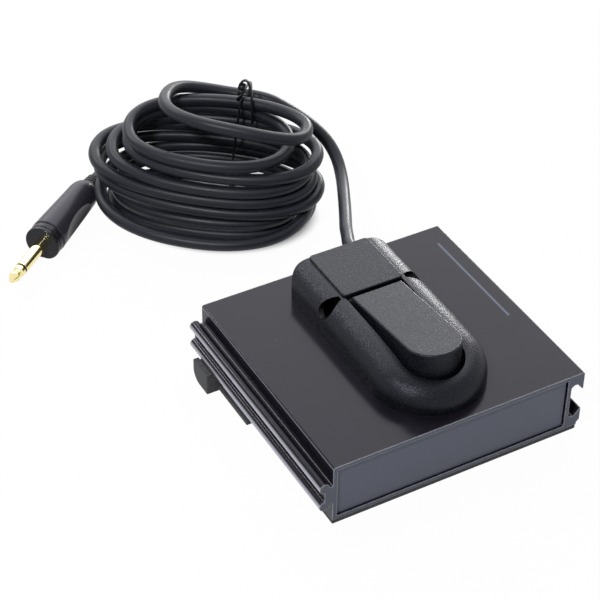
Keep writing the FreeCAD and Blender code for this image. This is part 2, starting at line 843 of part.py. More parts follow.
def make_snap_switch():
    half = s["snap_width"] / 2
    y0 = snap_y - s["snap_length"] / 2
    y1 = snap_y + s["snap_length"] / 2
    body, _ = padded(
        "snap_body", "XY_Plane", rect(shell_x - half, shell_x + half, y0, y1), s["snap_tall"], z=snap_low,
    )
    pieces.remove(body)
    body.Label = "snap_case_body"
    well_low = snap_top - s["plunger_deep"] - s["plunger_out"]
    well = rod("plunger_well", "Z", shell_x, plunger_y, well_low, s["plunger_radius"] + s["plunger_fit"], 5)
    for node, side in (("terminal_common", 1), ("terminal_open", 0), ("terminal_closed", -1)):
        y = snap_y + side * (s["snap_length"] / 2 - s["leg_inset"])
        across = s["leg_width"] / 2
        along = s["leg_depth"] / 2
        leg = block(
            node, shell_x - across, shell_x + across, y - along, y + along,
            floor + 0.4, snap_low,
        )
        keep(leg, node)
    keep(holed("snap_case_cut", body, well), "snap_case")
    keep(rod(
        "plunger_rod", "Z", shell_x, plunger_y, snap_top - s["plunger_deep"],
        s["plunger_radius"], s["plunger_out"] + s["plunger_deep"],
    ), "snap_plunger")


# Curved wires: arcs, tubes and the coil
def tube_path(points, bend=None):
    """Straight runs joined by tangent arcs, as large as they can be or of one radius."""
    edges = []
    used = []
    last = points[0]
    for index in range(1, len(points) - 1):
        before, here, after = points[index - 1], points[index], points[index + 1]
        a, b = here - before, after - here
        turn = a.getAngle(b)
        run = min(a.Length, b.Length)
        reach = 0.45 * run
        if bend:
            reach = bend * math.tan(turn / 2)
        radius = reach / math.tan(turn / 2)
        used.append(radius)
        a.normalize()
        b.normalize()
        start = here - a * reach
        end = here + b * reach
        inward = (b - a).normalize()
        middle = here + inward * (radius / math.cos(turn / 2) - radius)
        if (start - last).Length > 1e-6:
            edges.append(Part.LineSegment(last, start).toShape())
        edges.append(Part.Arc(start, middle, end).toShape())
        last = end
    edges.append(Part.LineSegment(last, points[-1]).toShape())
    return Part.Wire(edges), used


def swept(wire, start, along, radius):
    ring = Part.Wire([Part.Circle(start, along, radius).toShape()])
    return wire.makePipeShell([ring], True, False)


def tube(points, radius):
    """The tube's solid, its arcs' radii, its length and its volume's share of section times length."""
    wire, used = tube_path(points)
    solid = swept(wire, points[0], points[1] - points[0], float(radius))
    share = solid.Volume / (math.pi * float(radius) ** 2 * wire.Length)
    return solid, used, wire.Length, share


def biarc(p0, t0, p1, t1):
    """The two arcs that join two points with given directions: joint and middle points."""
    span = p1 - p0
    both = t0 + t1
    bend = 2 * (t0.dot(t1) - 1)
    flow = -2 * span.dot(both)
    gap = span.dot(span)
    root = math.sqrt(flow * flow - 4 * bend * gap)
    reach = max((-flow - root) / (2 * bend), (-flow + root) / (2 * bend))
    joint = (p0 + t0 * reach + p1 - t1 * reach) * 0.5
    return joint, arc_middle(p0, t0, joint), arc_middle(p1, -t1, joint)


def arc_middle(start, way, end):
    """The middle point of the arc that leaves start along way and ends at end."""
    chord = end - start
    side = chord - way * chord.dot(way)
    half = math.atan2(side.Length, chord.dot(way)) / 2
    middle = start + chord * 0.5
    chord_way = V(chord).normalize()
    bulge = way - chord_way * way.dot(chord_way)
    return middle + bulge.normalize() * (chord.Length / 2 * math.tan(half))


def biarc_wire(stations):
    edges = []
    for (p0, t0), (p1, t1) in zip(stations, stations[1:]):
        joint, first, second = biarc(p0, t0, p1, t1)
        edges.append(Part.Arc(p0, first, joint).toShape())
        edges.append(Part.Arc(joint, second, p1).toShape())
    return Part.Wire(edges)


def least_gap(wire, diameter, turn_length):
    """Least clear distance between strands, on points about 2 mm apart."""
    points = wire.discretize(Number=int(wire.Length / 2))
    skip = int(turn_length / 4)
    least = 1e9
    for index, point in enumerate(points):
        for other in points[index + skip:]:
            least = min(least, point.distanceToPoint(other))
    return least - diameter


coil_way = V(math.cos(math.radians(float(s["coil_turn"]))), -math.sin(math.radians(float(s["coil_turn"]))), 0)
coil_back = V(-coil_way.y, coil_way.x, 0)


def coil_place(p, q, z):
    """A place in the coil's own axes: p to its right end, q to its back, z up."""
    return V(float(s["coil_x"]), float(s["coil_y"]), z) + coil_way * p + coil_back * q


def coil_stations():
    """Quarter-turn points with directions, from the top turn's back down to the last turn's back."""
    spots = []
    ways = []
    last_right = COIL_RIGHT[0]
    for turn, reach in enumerate(COIL_LEFT):
        back, ahead = COIL_BACK[turn], COIL_BACK[turn + 1]
        edge, side = COIL_FRONT[turn], COIL_RIGHT[turn]
        spots.append(((last_right - reach) / 2, back, COIL_BACK_Z[turn]))
        spots.append((-reach, (back - edge) / 2, COIL_LEFT_Z[turn]))
        spots.append(((side - reach) / 2, -edge, COIL_FRONT_Z[turn]))
        spots.append((side, (ahead - edge) / 2, COIL_RIGHT_Z[turn]))
        ways.extend([-coil_way, -coil_back, coil_way, coil_back])
        last_right = side
    spots.append(((last_right - COIL_LEFT[-1] - 7) / 2, COIL_BACK[-1], COIL_BACK_Z[-1]))
    ways.append(-coil_way)
    places = [coil_place(*spot) for spot in spots]
    stations = []
    for index, place in enumerate(places):
        way = V(ways[index])
        if 0 < index < len(places) - 1:
            before, after = places[index - 1], places[index + 1]
            run = math.hypot(place.x - before.x, place.y - before.y)
            run += math.hypot(after.x - place.x, after.y - place.y)
            way.z = (after.z - before.z) / (1.1 * run)
        stations.append((place, way.normalize()))
    return stations


# Lead between the straight start at the switch and the coil
LEAD = [
    (16.6, 65.5, 40.5),
    (22.4, 77.0, 35.5),
    (30.8, 91.5, 30.0),
    (40.9, 110.0, 26.0),
    (50.1, 128.0, 24.2),
    (54.0, 140.6, 28.3),
    (52.9, 150.8, 34.0),
    (47.7, 160.8, 39.6),
    (40.4, 169.8, 44.8),
]
LEAD_END_RUN = 8.5
# Tail in the coil's own axes, between the coil's end and the plug
TAIL = [
    (-12.5, 35.0, 5.3),
    (-21.8, 34.0, 5.0),
    (-32.3, 31.6, 4.8),
    (-42.3, 27.4, 5.0),
    (-50.8, 21.4, 5.8),
    (-57.2, 14.0, 7.0),
]
TAIL_END_RUN = 8.2


def make_cord():
    radius = float(s["cord_radius"])
    stations = coil_stations()
    wire = biarc_wire(stations)
    coil = swept(wire, stations[0][0], stations[0][1], radius)
    keep(featured("coil_solid", coil), "cord_coil")
    share = coil.Volume / (math.pi * radius ** 2 * wire.Length)
    radii = [edge.Curve.Radius for edge in wire.Edges]
    gap = least_gap(wire, 2 * radius, wire.Length / len(COIL_LEFT) / 2)
    print("coil length %.0f volume share %.4f" % (wire.Length, share))
    print("coil least gap %.2f least radius %.1f" % (gap, min(radii)))
    start, way = stations[0]
    end = stations[-1][0]
    leave = V(float(cord_x), float(rear_face), float(cord_z))
    lead = [leave, leave + V(0, float(s["lead_start"]), 0)] + [V(*point) for point in LEAD]
    lead += [start - way * LEAD_END_RUN, start]
    boot_end, plug_way = plug_place(float(plug_length))
    tail = [end] + [coil_place(*point) for point in TAIL] + [boot_end + plug_way * TAIL_END_RUN, boot_end]
    for node, points in (("cord_lead", lead), ("cord_tail", tail)):
        solid, used, length, share = tube(points, radius)
        keep(featured(node + "_solid", solid), node)
        print("%s length %.0f volume share %.4f" % (node, length, share))
        print("%s radii %s" % (node, " ".join("%.0f" % value for value in used)))


def plug_place(along):
    """A place on the plug's axis, this far from its tip toward the cord, and the axis direction."""
    turn = math.radians(float(s["plug_turn"]))
    way = V(math.cos(turn), math.sin(turn), 0)
    tip = V(float(s["plug_tip_x"]), float(s["plug_tip_y"]), float(s["plug_axis_z"]))
    return tip + way * along, way


def make_plug():
    _, way = plug_place(0)
    lie = FreeCAD.Rotation(V(0, 0, 1), way)
    at = {"x": s["plug_tip_x"], "y": s["plug_tip_y"], "z": s["plug_axis_z"]}
    shaft = s["pin_shaft"]
    tip_end = s["tip_length"]
    ring_end = tip_end + s["ring_length"]
    shoulder = s["pin_length"]
    collar_end = shoulder + s["collar_length"]
    barrel_end = collar_end + s["barrel_length"]
    fit = s["fit"]
    neck = shaft - s["neck_step"]
    core = s["plug_core"]
    tube_out = s["plug_tube"]
    turned("plug_tip", [
        (0, 0), (1.3, 0), (2.85, 3.2), (2.85, 4.0), (2.0, 5.8), (2.0, 6.4),
        (shaft - s["tip_step"], tip_end - 2), (shaft - s["tip_step"], tip_end), (core, tip_end),
        (core, collar_end + 6), (0, collar_end + 6),
    ], lie, **at)
    turned("plug_insulator", [
        (core + fit, tip_end), (shaft - s["ring_step"], tip_end), (shaft - s["ring_step"], ring_end),
        (tube_out, ring_end), (tube_out, collar_end + 4), (core + fit, collar_end + 4),
    ], lie, **at)
    turned("plug_sleeve", [
        (tube_out + fit, ring_end), (shaft, ring_end), (shaft, shoulder), (neck, shoulder), (neck, collar_end),
        (s["barrel_bore"] - fit, collar_end), (s["barrel_bore"] - fit, collar_end + 8),
        (tube_out + fit, collar_end + 8),
    ], lie, **at)
    ring = s["collar_radius"]
    flange = shoulder + s["flange_length"]
    turned("plug_collar", [
        (neck + fit, shoulder), (ring - 0.5, shoulder), (ring, shoulder + 0.5), (ring, flange),
        (ring - 0.6, flange + 0.2), (ring - 0.6, flange + 0.6), (ring - 0.1, flange + 0.8),
        (ring - 0.1, collar_end - 0.6), (ring - 0.6, collar_end - 0.4),
        (ring - 0.6, collar_end), (neck + fit, collar_end),
    ], lie, **at)
    wide = s["barrel_radius"]
    rear = s["barrel_rear_radius"]
    barrel = turned("plug_grip", [
        (s["barrel_bore"], collar_end), (wide - 0.4, collar_end), (wide, collar_end + 0.6),
        (rear, barrel_end - 6), (rear - 0.4, barrel_end - 3.4), (rear - 1.1, barrel_end - 1.5),
        (rear - 1.9, barrel_end - 0.4), (rear - 2.4, barrel_end), (s["barrel_bore"], barrel_end),
    ], lie, **at)
    pieces.remove(barrel)
    barrel.Label = "plug_barrel_body"
    scoops = []
    for number, turn in enumerate((90, -90)):
        middle, _ = plug_place(float(collar_end + s["scoop_middle"]))
        out = FreeCAD.Rotation(way, turn).multVec(V(0, 0, 1))
        side = way.cross(out)
        middle += out * float(s["scoop_radius"] + s["scoop_out"])
        scoop = doc.addObject("Part::Ellipsoid", "scoop_%d" % number)
        bind(scoop, Radius1=s["scoop_radius"], Radius2=s["scoop_half"], Radius3=s["scoop_radius"])
        scoop.Placement = FreeCAD.Placement(middle, FreeCAD.Rotation(way, side, out, "XZY"))
        scoops.append(scoop)
    keep(holed("plug_barrel_cut", barrel, *scoops), "plug_barrel")
    root = s["barrel_bore"] - fit
    boot = [(0, barrel_end - 6), (root, barrel_end - 6), (root, barrel_end + 0.5)]
    pitch = (s["boot_length"] - 0.6) / 4
    for step in range(4):
        rib = s["boot_radius"] - 0.25 * step
        foot = barrel_end + 0.5 + pitch * step
        neck = foot + pitch - 0.6
        boot += [(rib, foot), (rib, neck - 0.2), (rib - 0.6, neck), (rib - 0.6, foot + pitch - 0.1)]
    boot += [(s["cord_radius"] + 0.6, plug_length), (0, plug_length)]
    turned("plug_boot", boot, lie, **at)


def make_tie():
    """A wire tie round the strands at the coil's back: up inside, arched over, twisted on itself."""
    radius = float(s["tie_radius"])
    loop = [
        (17.6, 15.0, 45.0), (17.5, 14.6, 52.0), (16.6, 17.6, 60.5), (14.0, 20.4, 65.6), (11.0, 20.2, 63.4),
        (10.6, 17.0, 57.0), (10.8, 14.9, 51.0), (5.0, 14.6, 1.0), (9.0, 40.1, 1.0), (11.2, 38.8, 53.0),
        (11.6, 26.0, 58.4),
    ]
    points = [coil_place(*point) for point in loop]
    wire, used = tube_path(points, float(s["tie_bend"]))
    solid = swept(wire, points[0], points[1] - points[0], radius)
    keep(featured("tie_solid", solid), "twist_tie")
    print("tie radii %s" % " ".join("%.1f" % value for value in used))


def make_spring():
    """Return spring between the base plate and the treadle."""
    wire_radius = float(s["spring_wire"]) / 2
    radius = float(s["spring_radius"])
    low_z = float(floor) + wire_radius + 0.02
    high_z = float(spring_top) - wire_radius - 0.02
    turns = int(float(s["spring_turns"]))
    stations = []
    for quarter in range(4 * turns + 1):
        angle = math.pi / 2 * quarter
        rise = (high_z - low_z) / (2 * math.pi * radius * turns)
        place = V(
            float(shell_x) + radius * math.cos(angle),
            float(spring_y) + radius * math.sin(angle),
            low_z + (high_z - low_z) * quarter / (4 * turns),
        )
        stations.append((place, V(-math.sin(angle), math.cos(angle), rise).normalize()))
    wire = biarc_wire(stations)
    solid = swept(wire, stations[0][0], stations[0][1], wire_radius)
    keep(featured("spring_solid", solid), "return_spring")
    print("spring least gap %.2f" % least_gap(wire, 2 * wire_radius, 2 * wire.Length / turns / 2))


def make_inner_cord():
    """The cord's end inside the shell, its bushing, its clamp and the two leads to the snap switch."""
    rear_in = rear_face - s["shell_wall"]
    keep(rod(
        "cord_inner_rod", "Y", cord_x, rear_face - s["cord_inside"], cord_z,
        s["cord_radius"], s["cord_inside"],
    ), "cord_inner")
    collar = rod("bush_collar", "Y", cord_x, rear_in, cord_z, s["bush_radius"], s["shell_wall"])
    flange = rod(
        "bush_flange_rod", "Y", cord_x, rear_in - s["bush_thick"], cord_z,
        s["bush_flange"], s["bush_thick"],
    )
    bore = rod(
        "bush_bore", "Y", cord_x, rear_in - 3, cord_z,
        s["cord_radius"] + s["fit"], s["shell_wall"] + 4,
    )
    keep(holed("bush_cut", fused("bush_solid", collar, flange), bore), "cord_bushing")
    rest = cord_z - s["cord_radius"]
    saddle = fused(
        "clamp_solid",
        rod(
            "clamp_arch", "Y", cord_x, clamp_front, cord_z,
            s["cord_radius"] + clamp_thick / 2, clamp_back - clamp_front,
        ),
        block(
            "clamp_ears", cord_x - clamp_half, cord_x + clamp_half,
            clamp_front, clamp_back, rest, rest + clamp_thick,
        ),
    )
    keep(holed(
        "clamp_cut", saddle,
        rod(
            "clamp_bore", "Y", cord_x, clamp_front - 1, cord_z,
            s["cord_radius"] + s["fit"], s["clamp_length"] + 2,
        ),
        block(
            "clamp_flat", cord_x - clamp_half - 1, cord_x + clamp_half + 1,
            clamp_front - 1, clamp_back + 1, rest - 3, rest,
        ),
        rod("clamp_eye_1", "Z", cord_x - clamp_reach, clamp_middle, rest - 1, s["clamp_screw"] + s["fit"], 6),
        rod("clamp_eye_2", "Z", cord_x + clamp_reach, clamp_middle, rest - 1, s["clamp_screw"] + s["fit"], 6),
    ), "cord_clamp")
    parts = []
    for number, side in enumerate((-1, 1), start=1):
        x = cord_x + side * clamp_reach
        deep = s["clamp_screw_deep"]
        parts.append(fused(
            "clamp_screw_%d" % number,
            rod(
                "clamp_shank_%d" % number, "Z", x, clamp_middle, rest - deep,
                s["clamp_screw"], deep + clamp_thick,
            ),
            rod(
                "clamp_head_%d" % number, "Z", x, clamp_middle, rest + clamp_thick,
                s["clamp_head"], s["clamp_head_tall"],
            ),
        ))
    group = doc.addObject("Part::Compound", "clamp_screw_group")
    group.Links = parts
    keep(group, "clamp_screws")
    cord_end = float(cord_x)
    wire_y = float(rear_face - s["cord_inside"])
    z = float(cord_z)
    leg_z = float(floor) + 1.7
    x = float(shell_x)
    for node, side, leg in (("wire_common", -1, 1), ("wire_open", 1, 0)):
        leg_y = float(snap_y) + leg * float(s["snap_length"] / 2 - s["leg_inset"])
        start = cord_end + side * 2 * float(s["wire_radius"])
        bus = x + 5.2 + 1.6 * (1 - leg)
        points = [
            V(start, wire_y, z), V(start, wire_y - 5, z), V(bus, wire_y - 12, leg_z + 1.8),
            V(bus, leg_y + 5, leg_z), V(bus - 1.6, leg_y, leg_z),
            V(x + float(s["leg_width"]) / 2, leg_y, leg_z),
        ]
        solid, used = tube(points, float(s["wire_radius"]))[:2]
        keep(featured(node + "_solid", solid), node)
        print("%s radii %s" % (node, " ".join("%.1f" % value for value in used)))


make_profile()
make_end_plates()
make_rubber()
make_shell()
make_treadle()
make_base()
make_screws()
make_snap_switch()
make_spring()
make_inner_cord()
make_cord()
make_tie()
make_plug()
doc.recompute()

for thing in doc.Objects:
    if "Invalid" in thing.State or "Error" in thing.State:
        raise RuntimeError("%s could not be made" % thing.Name)
for thing in pieces:
    if thing.Shape.isNull() or not thing.Shape.isValid():
        raise RuntimeError("%s has no valid shape" % thing.Label)
os.makedirs("parts", exist_ok=True)
for thing in pieces:
    thing.Shape.exportStep("parts/%s.step" % thing.Label)
print("%d nodes written" % len(pieces))
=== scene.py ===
import json
import math

import bmesh
import bpy
from mathutils import Matrix, Vector


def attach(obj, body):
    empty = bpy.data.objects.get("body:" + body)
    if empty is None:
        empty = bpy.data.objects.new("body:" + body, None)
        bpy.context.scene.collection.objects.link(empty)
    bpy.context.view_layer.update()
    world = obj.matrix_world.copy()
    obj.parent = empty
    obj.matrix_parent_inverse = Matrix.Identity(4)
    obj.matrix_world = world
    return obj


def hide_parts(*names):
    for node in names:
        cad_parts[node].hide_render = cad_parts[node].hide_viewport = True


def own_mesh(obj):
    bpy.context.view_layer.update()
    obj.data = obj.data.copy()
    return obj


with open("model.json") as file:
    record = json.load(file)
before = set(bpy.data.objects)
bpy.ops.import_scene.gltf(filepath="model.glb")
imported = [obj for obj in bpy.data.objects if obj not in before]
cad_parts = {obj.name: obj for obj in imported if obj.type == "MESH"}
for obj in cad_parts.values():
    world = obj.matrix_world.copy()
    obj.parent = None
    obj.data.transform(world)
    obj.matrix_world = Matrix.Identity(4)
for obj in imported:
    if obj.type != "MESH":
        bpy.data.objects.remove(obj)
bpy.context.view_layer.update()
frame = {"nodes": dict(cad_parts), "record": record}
cadNodes = frame["nodes"]
mm = 0.001  # settings are in millimetres and degrees where no note says otherwise
scene = bpy.context.scene
scene.view_settings.view_transform = "Standard"
print("stage: frame loaded,", len(cadNodes), "nodes")


# Camera

cameraSetup = {
    "target": (-1.57, 77.44, 0.0),
    "distance": 961.3,
    "azimuth": -29.68,
    "elevation": 39.424,
    "roll": 0.894,
    "lens": 118.174,
    "shiftX": -0.001625,
    "shiftY": 0.00055,
    "sensor": 36,
    "near": 0.05,
    "far": 20,
}


def makeCamera(setup):
    turn = math.radians(setup["azimuth"])
    lift = math.radians(setup["elevation"])
    back = Vector((math.sin(turn) * math.cos(lift), -math.cos(turn) * math.cos(lift), math.sin(lift)))
    side = Vector((math.cos(turn), math.sin(turn), 0))
    top = back.cross(side)
    roll = math.radians(setup["roll"])
    right = side * math.cos(roll) + top * math.sin(roll)
    up = top * math.cos(roll) - side * math.sin(roll)
    data = bpy.data.cameras.new("camera")
    data.lens = setup["lens"]
    data.sensor_width = setup["sensor"]
    data.shift_x = setup["shiftX"]
    data.shift_y = setup["shiftY"]
    data.clip_start = setup["near"]
    data.clip_end = setup["far"]
    camera = bpy.data.objects.new("camera", data)
    scene.collection.objects.link(camera)
    place = (Vector(setup["target"]) + back * setup["distance"]) * mm
    camera.matrix_world = Matrix((
        (right.x, up.x, back.x, place.x),
        (right.y, up.y, back.y, place.y),
        (right.z, up.z, back.z, place.z),
        (0, 0, 0, 1),
    ))
    scene.camera = camera


makeCamera(cameraSetup)


# Shader building blocks

def addNode(tree, kind, **values):
    node = tree.nodes.new(kind)
    for word, value in values.items():
        setattr(node, word, value)
    return node


def feed(tree, socket, source):
    if isinstance(source, bpy.types.NodeSocket):
        tree.links.new(source, socket)
    else:
        socket.default_value = source


def newGroup(name, inputs, outputs):
    tree = bpy.data.node_groups.new(name, "ShaderNodeTree")
    for word, value in inputs.items():
        socket = tree.interface.new_socket(word, in_out="INPUT", socket_type="NodeSocketFloat")
        socket.default_value = value
    for word, kind in outputs.items():
        tree.interface.new_socket(word, in_out="OUTPUT", socket_type=kind)
    return tree, addNode(tree, "NodeGroupInput"), addNode(tree, "NodeGroupOutput")


def mathNode(tree, operation, first, second=None, third=None, clamp=False):
    node = addNode(tree, "ShaderNodeMath", operation=operation, use_clamp=clamp)
    for socket, value in zip(node.inputs, (first, second, third)):
        if value is not None:
            feed(tree, socket, value)
    return node.outputs[0]


def rampNode(tree, value, low, high, outLow=0.0, outHigh=1.0):
    node = addNode(tree, "ShaderNodeMapRange", interpolation_type="SMOOTHSTEP")
    for word, source in (
        ("Value", value), ("From Min", low), ("From Max", high), ("To Min", outLow), ("To Max", outHigh),
    ):
        feed(tree, node.inputs[word], source)
    return node.outputs["Result"]


def noiseNode(tree, vector, scale, detail, roughness=0.5):
    node = addNode(tree, "ShaderNodeTexNoise")
    for word, source in (("Vector", vector), ("Scale", scale), ("Detail", detail), ("Roughness", roughness)):
        feed(tree, node.inputs[word], source)
    return node.outputs["Fac"]


def product(tree, first, second):
    return mathNode(tree, "MULTIPLY", first, second)


def blended(tree, first, second, share):
    # The first value at its share, the second at what is left
    return mathNode(tree, "MULTIPLY_ADD", first, share, product(tree, second, 1.0 - share))


def millimetres(tree):
    # The piece's own coordinates, which are the frame's, in millimetres
    place = addNode(tree, "ShaderNodeTexCoord").outputs["Object"]
    scale = addNode(tree, "ShaderNodeVectorMath", operation="SCALE")
    feed(tree, scale.inputs[0], place)
    scale.inputs["Scale"].default_value = 1000
    return scale.outputs[0]


def stretched(tree, vector, scale):
    node = addNode(tree, "ShaderNodeVectorMath", operation="MULTIPLY")
    feed(tree, node.inputs[0], vector)
    node.inputs[1].default_value = scale
    return node.outputs[0]


grainSetup = {
    "pitScale": 1.3,
    "pitSoftness": 0.6,
    "cloudScale": 0.05,
    "fleckRange": (0.46, 0.66),
    "fleckShare": 0.7,
}


def makeMouldGrain(setup):
    # Spark-eroded mould texture: small rounded pits with a fleck of tone
    tree, given, made = newGroup(
        "mouldGrain", {"Pitch": 0.6, "Spread": 0.5},
        {"Height": "NodeSocketFloat", "Tone": "NodeSocketFloat"},
    )
    place = millimetres(tree)
    scale = mathNode(tree, "DIVIDE", 1.0, given.outputs["Pitch"])
    fine = noiseNode(tree, place, scale, 3.0, 0.6)
    pits = addNode(tree, "ShaderNodeTexVoronoi", feature="SMOOTH_F1")
    feed(tree, pits.inputs["Vector"], place)
    feed(tree, pits.inputs["Scale"], product(tree, scale, setup["pitScale"]))
    pits.inputs["Smoothness"].default_value = setup["pitSoftness"]
    height = mathNode(tree, "MULTIPLY_ADD", pits.outputs["Distance"], given.outputs["Spread"], fine)
    feed(tree, made.inputs["Height"], height)
    cloud = noiseNode(tree, place, setup["cloudScale"], 3.0)
    fleck = rampNode(tree, fine, *setup["fleckRange"])
    feed(tree, made.inputs["Tone"], blended(tree, fleck, cloud, setup["fleckShare"]))
    return tree


edgeLineSetup = {
    "turnRange": (0.01, 0.16),
    "patchScale": 0.35,
    "patchRange": (0.35, 0.65),
}


def makeEdgeWearAndHighlight(setup):
    # Mask of the line along convex and concave edges: partly rubbed wear, partly a painted highlight where
    # edges catch the light
    tree, given, made = newGroup(
        "edgeWearAndHighlight", {"Breadth": 0.35, "Patchy": 0.5}, {"Mask": "NodeSocketFloat"},
    )
    rounded = addNode(tree, "ShaderNodeBevel", samples=6)
    feed(tree, rounded.inputs["Radius"], product(tree, given.outputs["Breadth"], mm))
    plain = addNode(tree, "ShaderNodeNewGeometry").outputs["Normal"]
    match = addNode(tree, "ShaderNodeVectorMath", operation="DOT_PRODUCT")
    feed(tree, match.inputs[0], rounded.outputs["Normal"])
    feed(tree, match.inputs[1], plain)
    turned = mathNode(tree, "SUBTRACT", 1.0, match.outputs["Value"])
    mask = rampNode(tree, turned, *setup["turnRange"])
    blotch = noiseNode(tree, millimetres(tree), setup["patchScale"], 4.0, 0.6)
    patch = rampNode(tree, blotch, *setup["patchRange"])
    kept = mathNode(tree, "SUBTRACT", 1.0, product(tree, given.outputs["Patchy"], patch))
    feed(tree, made.inputs["Mask"], mathNode(tree, "MULTIPLY", mask, kept, clamp=True))
    return tree


dieSetup = {
    "stretch": (1.0, 0.006, 1.0),
    "cloudScale": 0.045,
    "lineShare": 0.35,
}


def makeDieLines(setup):
    # Fine lines that the die leaves along an extrusion, and slow changes of tone across it
    tree, given, made = newGroup(
        "dieLines", {"Pitch": 0.25}, {"Height": "NodeSocketFloat", "Tone": "NodeSocketFloat"},
    )
    along = stretched(tree, millimetres(tree), setup["stretch"])
    scale = mathNode(tree, "DIVIDE", 1.0, given.outputs["Pitch"])
    lines = noiseNode(tree, along, scale, 3.0, 0.65)
    feed(tree, made.inputs["Height"], lines)
    cloud = noiseNode(tree, millimetres(tree), setup["cloudScale"], 4.0, 0.55)
    feed(tree, made.inputs["Tone"], blended(tree, lines, cloud, setup["lineShare"]))
    return tree


dustSetup = {
    "rimShare": 0.07,
    "coreShare": 0.03,
}


def makeDust(setup):
    # Sparse lint and dust specks
    tree, given, made = newGroup("dust", {"Spacing": 3.0, "Amount": 0.5}, {"Mask": "NodeSocketFloat"})
    cells = addNode(tree, "ShaderNodeTexVoronoi")
    feed(tree, cells.inputs["Vector"], millimetres(tree))
    feed(tree, cells.inputs["Scale"], mathNode(tree, "DIVIDE", 1.0, given.outputs["Spacing"]))
    speck = rampNode(tree, cells.outputs["Distance"], setup["rimShare"], setup["coreShare"])
    picked = addNode(tree, "ShaderNodeSeparateColor")
    feed(tree, picked.inputs[0], cells.outputs["Color"])
    chosen = mathNode(tree, "LESS_THAN", picked.outputs[0], given.outputs["Amount"])
    feed(tree, made.inputs["Mask"], product(tree, speck, chosen))
    return tree


groups = {
    "mouldGrain": makeMouldGrain(grainSetup),
    "edgeWearAndHighlight": makeEdgeWearAndHighlight(edgeLineSetup),
    "dieLines": makeDieLines(dieSetup),
    "dust": makeDust(dustSetup),
}
print("stage: shader groups ready")


def useGroup(tree, name, **values):
    # Places a group in a material, each value on the input of the same name
    node = addNode(tree, "ShaderNodeGroup", node_tree=groups[name])
    for word, value in values.items():
        feed(tree, node.inputs[word.capitalize()], value)
    return node.outputs


def newMaterial(name, metallic=0.0, specular=0.5, tint=(1.0, 1.0, 1.0)):
    material = bpy.data.materials.new(name)
    material.use_nodes = True
    tree = material.node_tree
    shader = tree.nodes["Principled BSDF"]
    shader.inputs["Metallic"].default_value = metallic
    shader.inputs["Specular IOR Level"].default_value = specular
    shader.inputs["Specular Tint"].default_value = (*tint, 1.0)
    return material, tree, shader


def mixColor(tree, factor, first, second):
    # Sockets 6 and 7 of the mix node are its two colours, and its output 2 is the mixed one
    node = addNode(tree, "ShaderNodeMix", data_type="RGBA")
    feed(tree, node.inputs[0], factor)
    for socket, value in ((node.inputs[6], first), (node.inputs[7], second)):
        feed(tree, socket, value if isinstance(value, bpy.types.NodeSocket) else (*value, 1.0))
    return node.outputs[2]


def addBump(tree, shader, height, depth, strength):
    bump = addNode(tree, "ShaderNodeBump")
    bump.inputs["Strength"].default_value = strength
    bump.inputs["Distance"].default_value = depth * mm
    feed(tree, bump.inputs["Height"], height)
    feed(tree, shader.inputs["Normal"], bump.outputs["Normal"])


toneRange = (0.3, 0.7)  # most of a noise lies between these


def addRoughness(tree, shader, tone, low, high):
    feed(tree, shader.inputs["Roughness"], rampNode(tree, tone, *toneRange, low, high))


# Materials

# The box: black anodised extrusion with sawn ends, and a painted highlight on its rails and left rim
anodisedLook = {
    "specular": 0.17,
    "tint": (0.89, 0.88, 1.0),
    "dark": (0.008, 0.007, 0.011),
    "light": (0.014, 0.0125, 0.019),
    "edge": (0.60, 0.61, 0.66),
    "edgeShare": 0.8,
    "edgeBreadth": 0.8,
    "edgePatches": 0.15,
    "cut": (0.115, 0.125, 0.165),
    "cutFrom": 60.9,
    "railHighlight": (0.46, 0.47, 0.52),
    "railFrom": -67.5,
    "railFacing": (-0.72, -1.0),  # the normal's X where the bright face begins and where it is full
    "railShare": 0.9,
    "rimFrom": -63.28,
    "rimZ": 31.75,
    "rimShare": 0.35,
    "highlightMetallic": 0.8,
    "dust": (0.3, 0.3, 0.32),
    "dustShare": 0.35,
    "dustSpacing": 5.0,
    "dustAmount": 0.12,
    "roughness": (0.15, 0.21),
    "linePitch": 0.22,
    "lineDepth": 0.012,
    "lineStrength": 0.5,
    "rule": (0.10, 0.12, 0.17),
    "ruleX": (56.7, 57.9),
    "ruleY": (-12.0, 49.0),
    "ruleZ": 32.8,
}


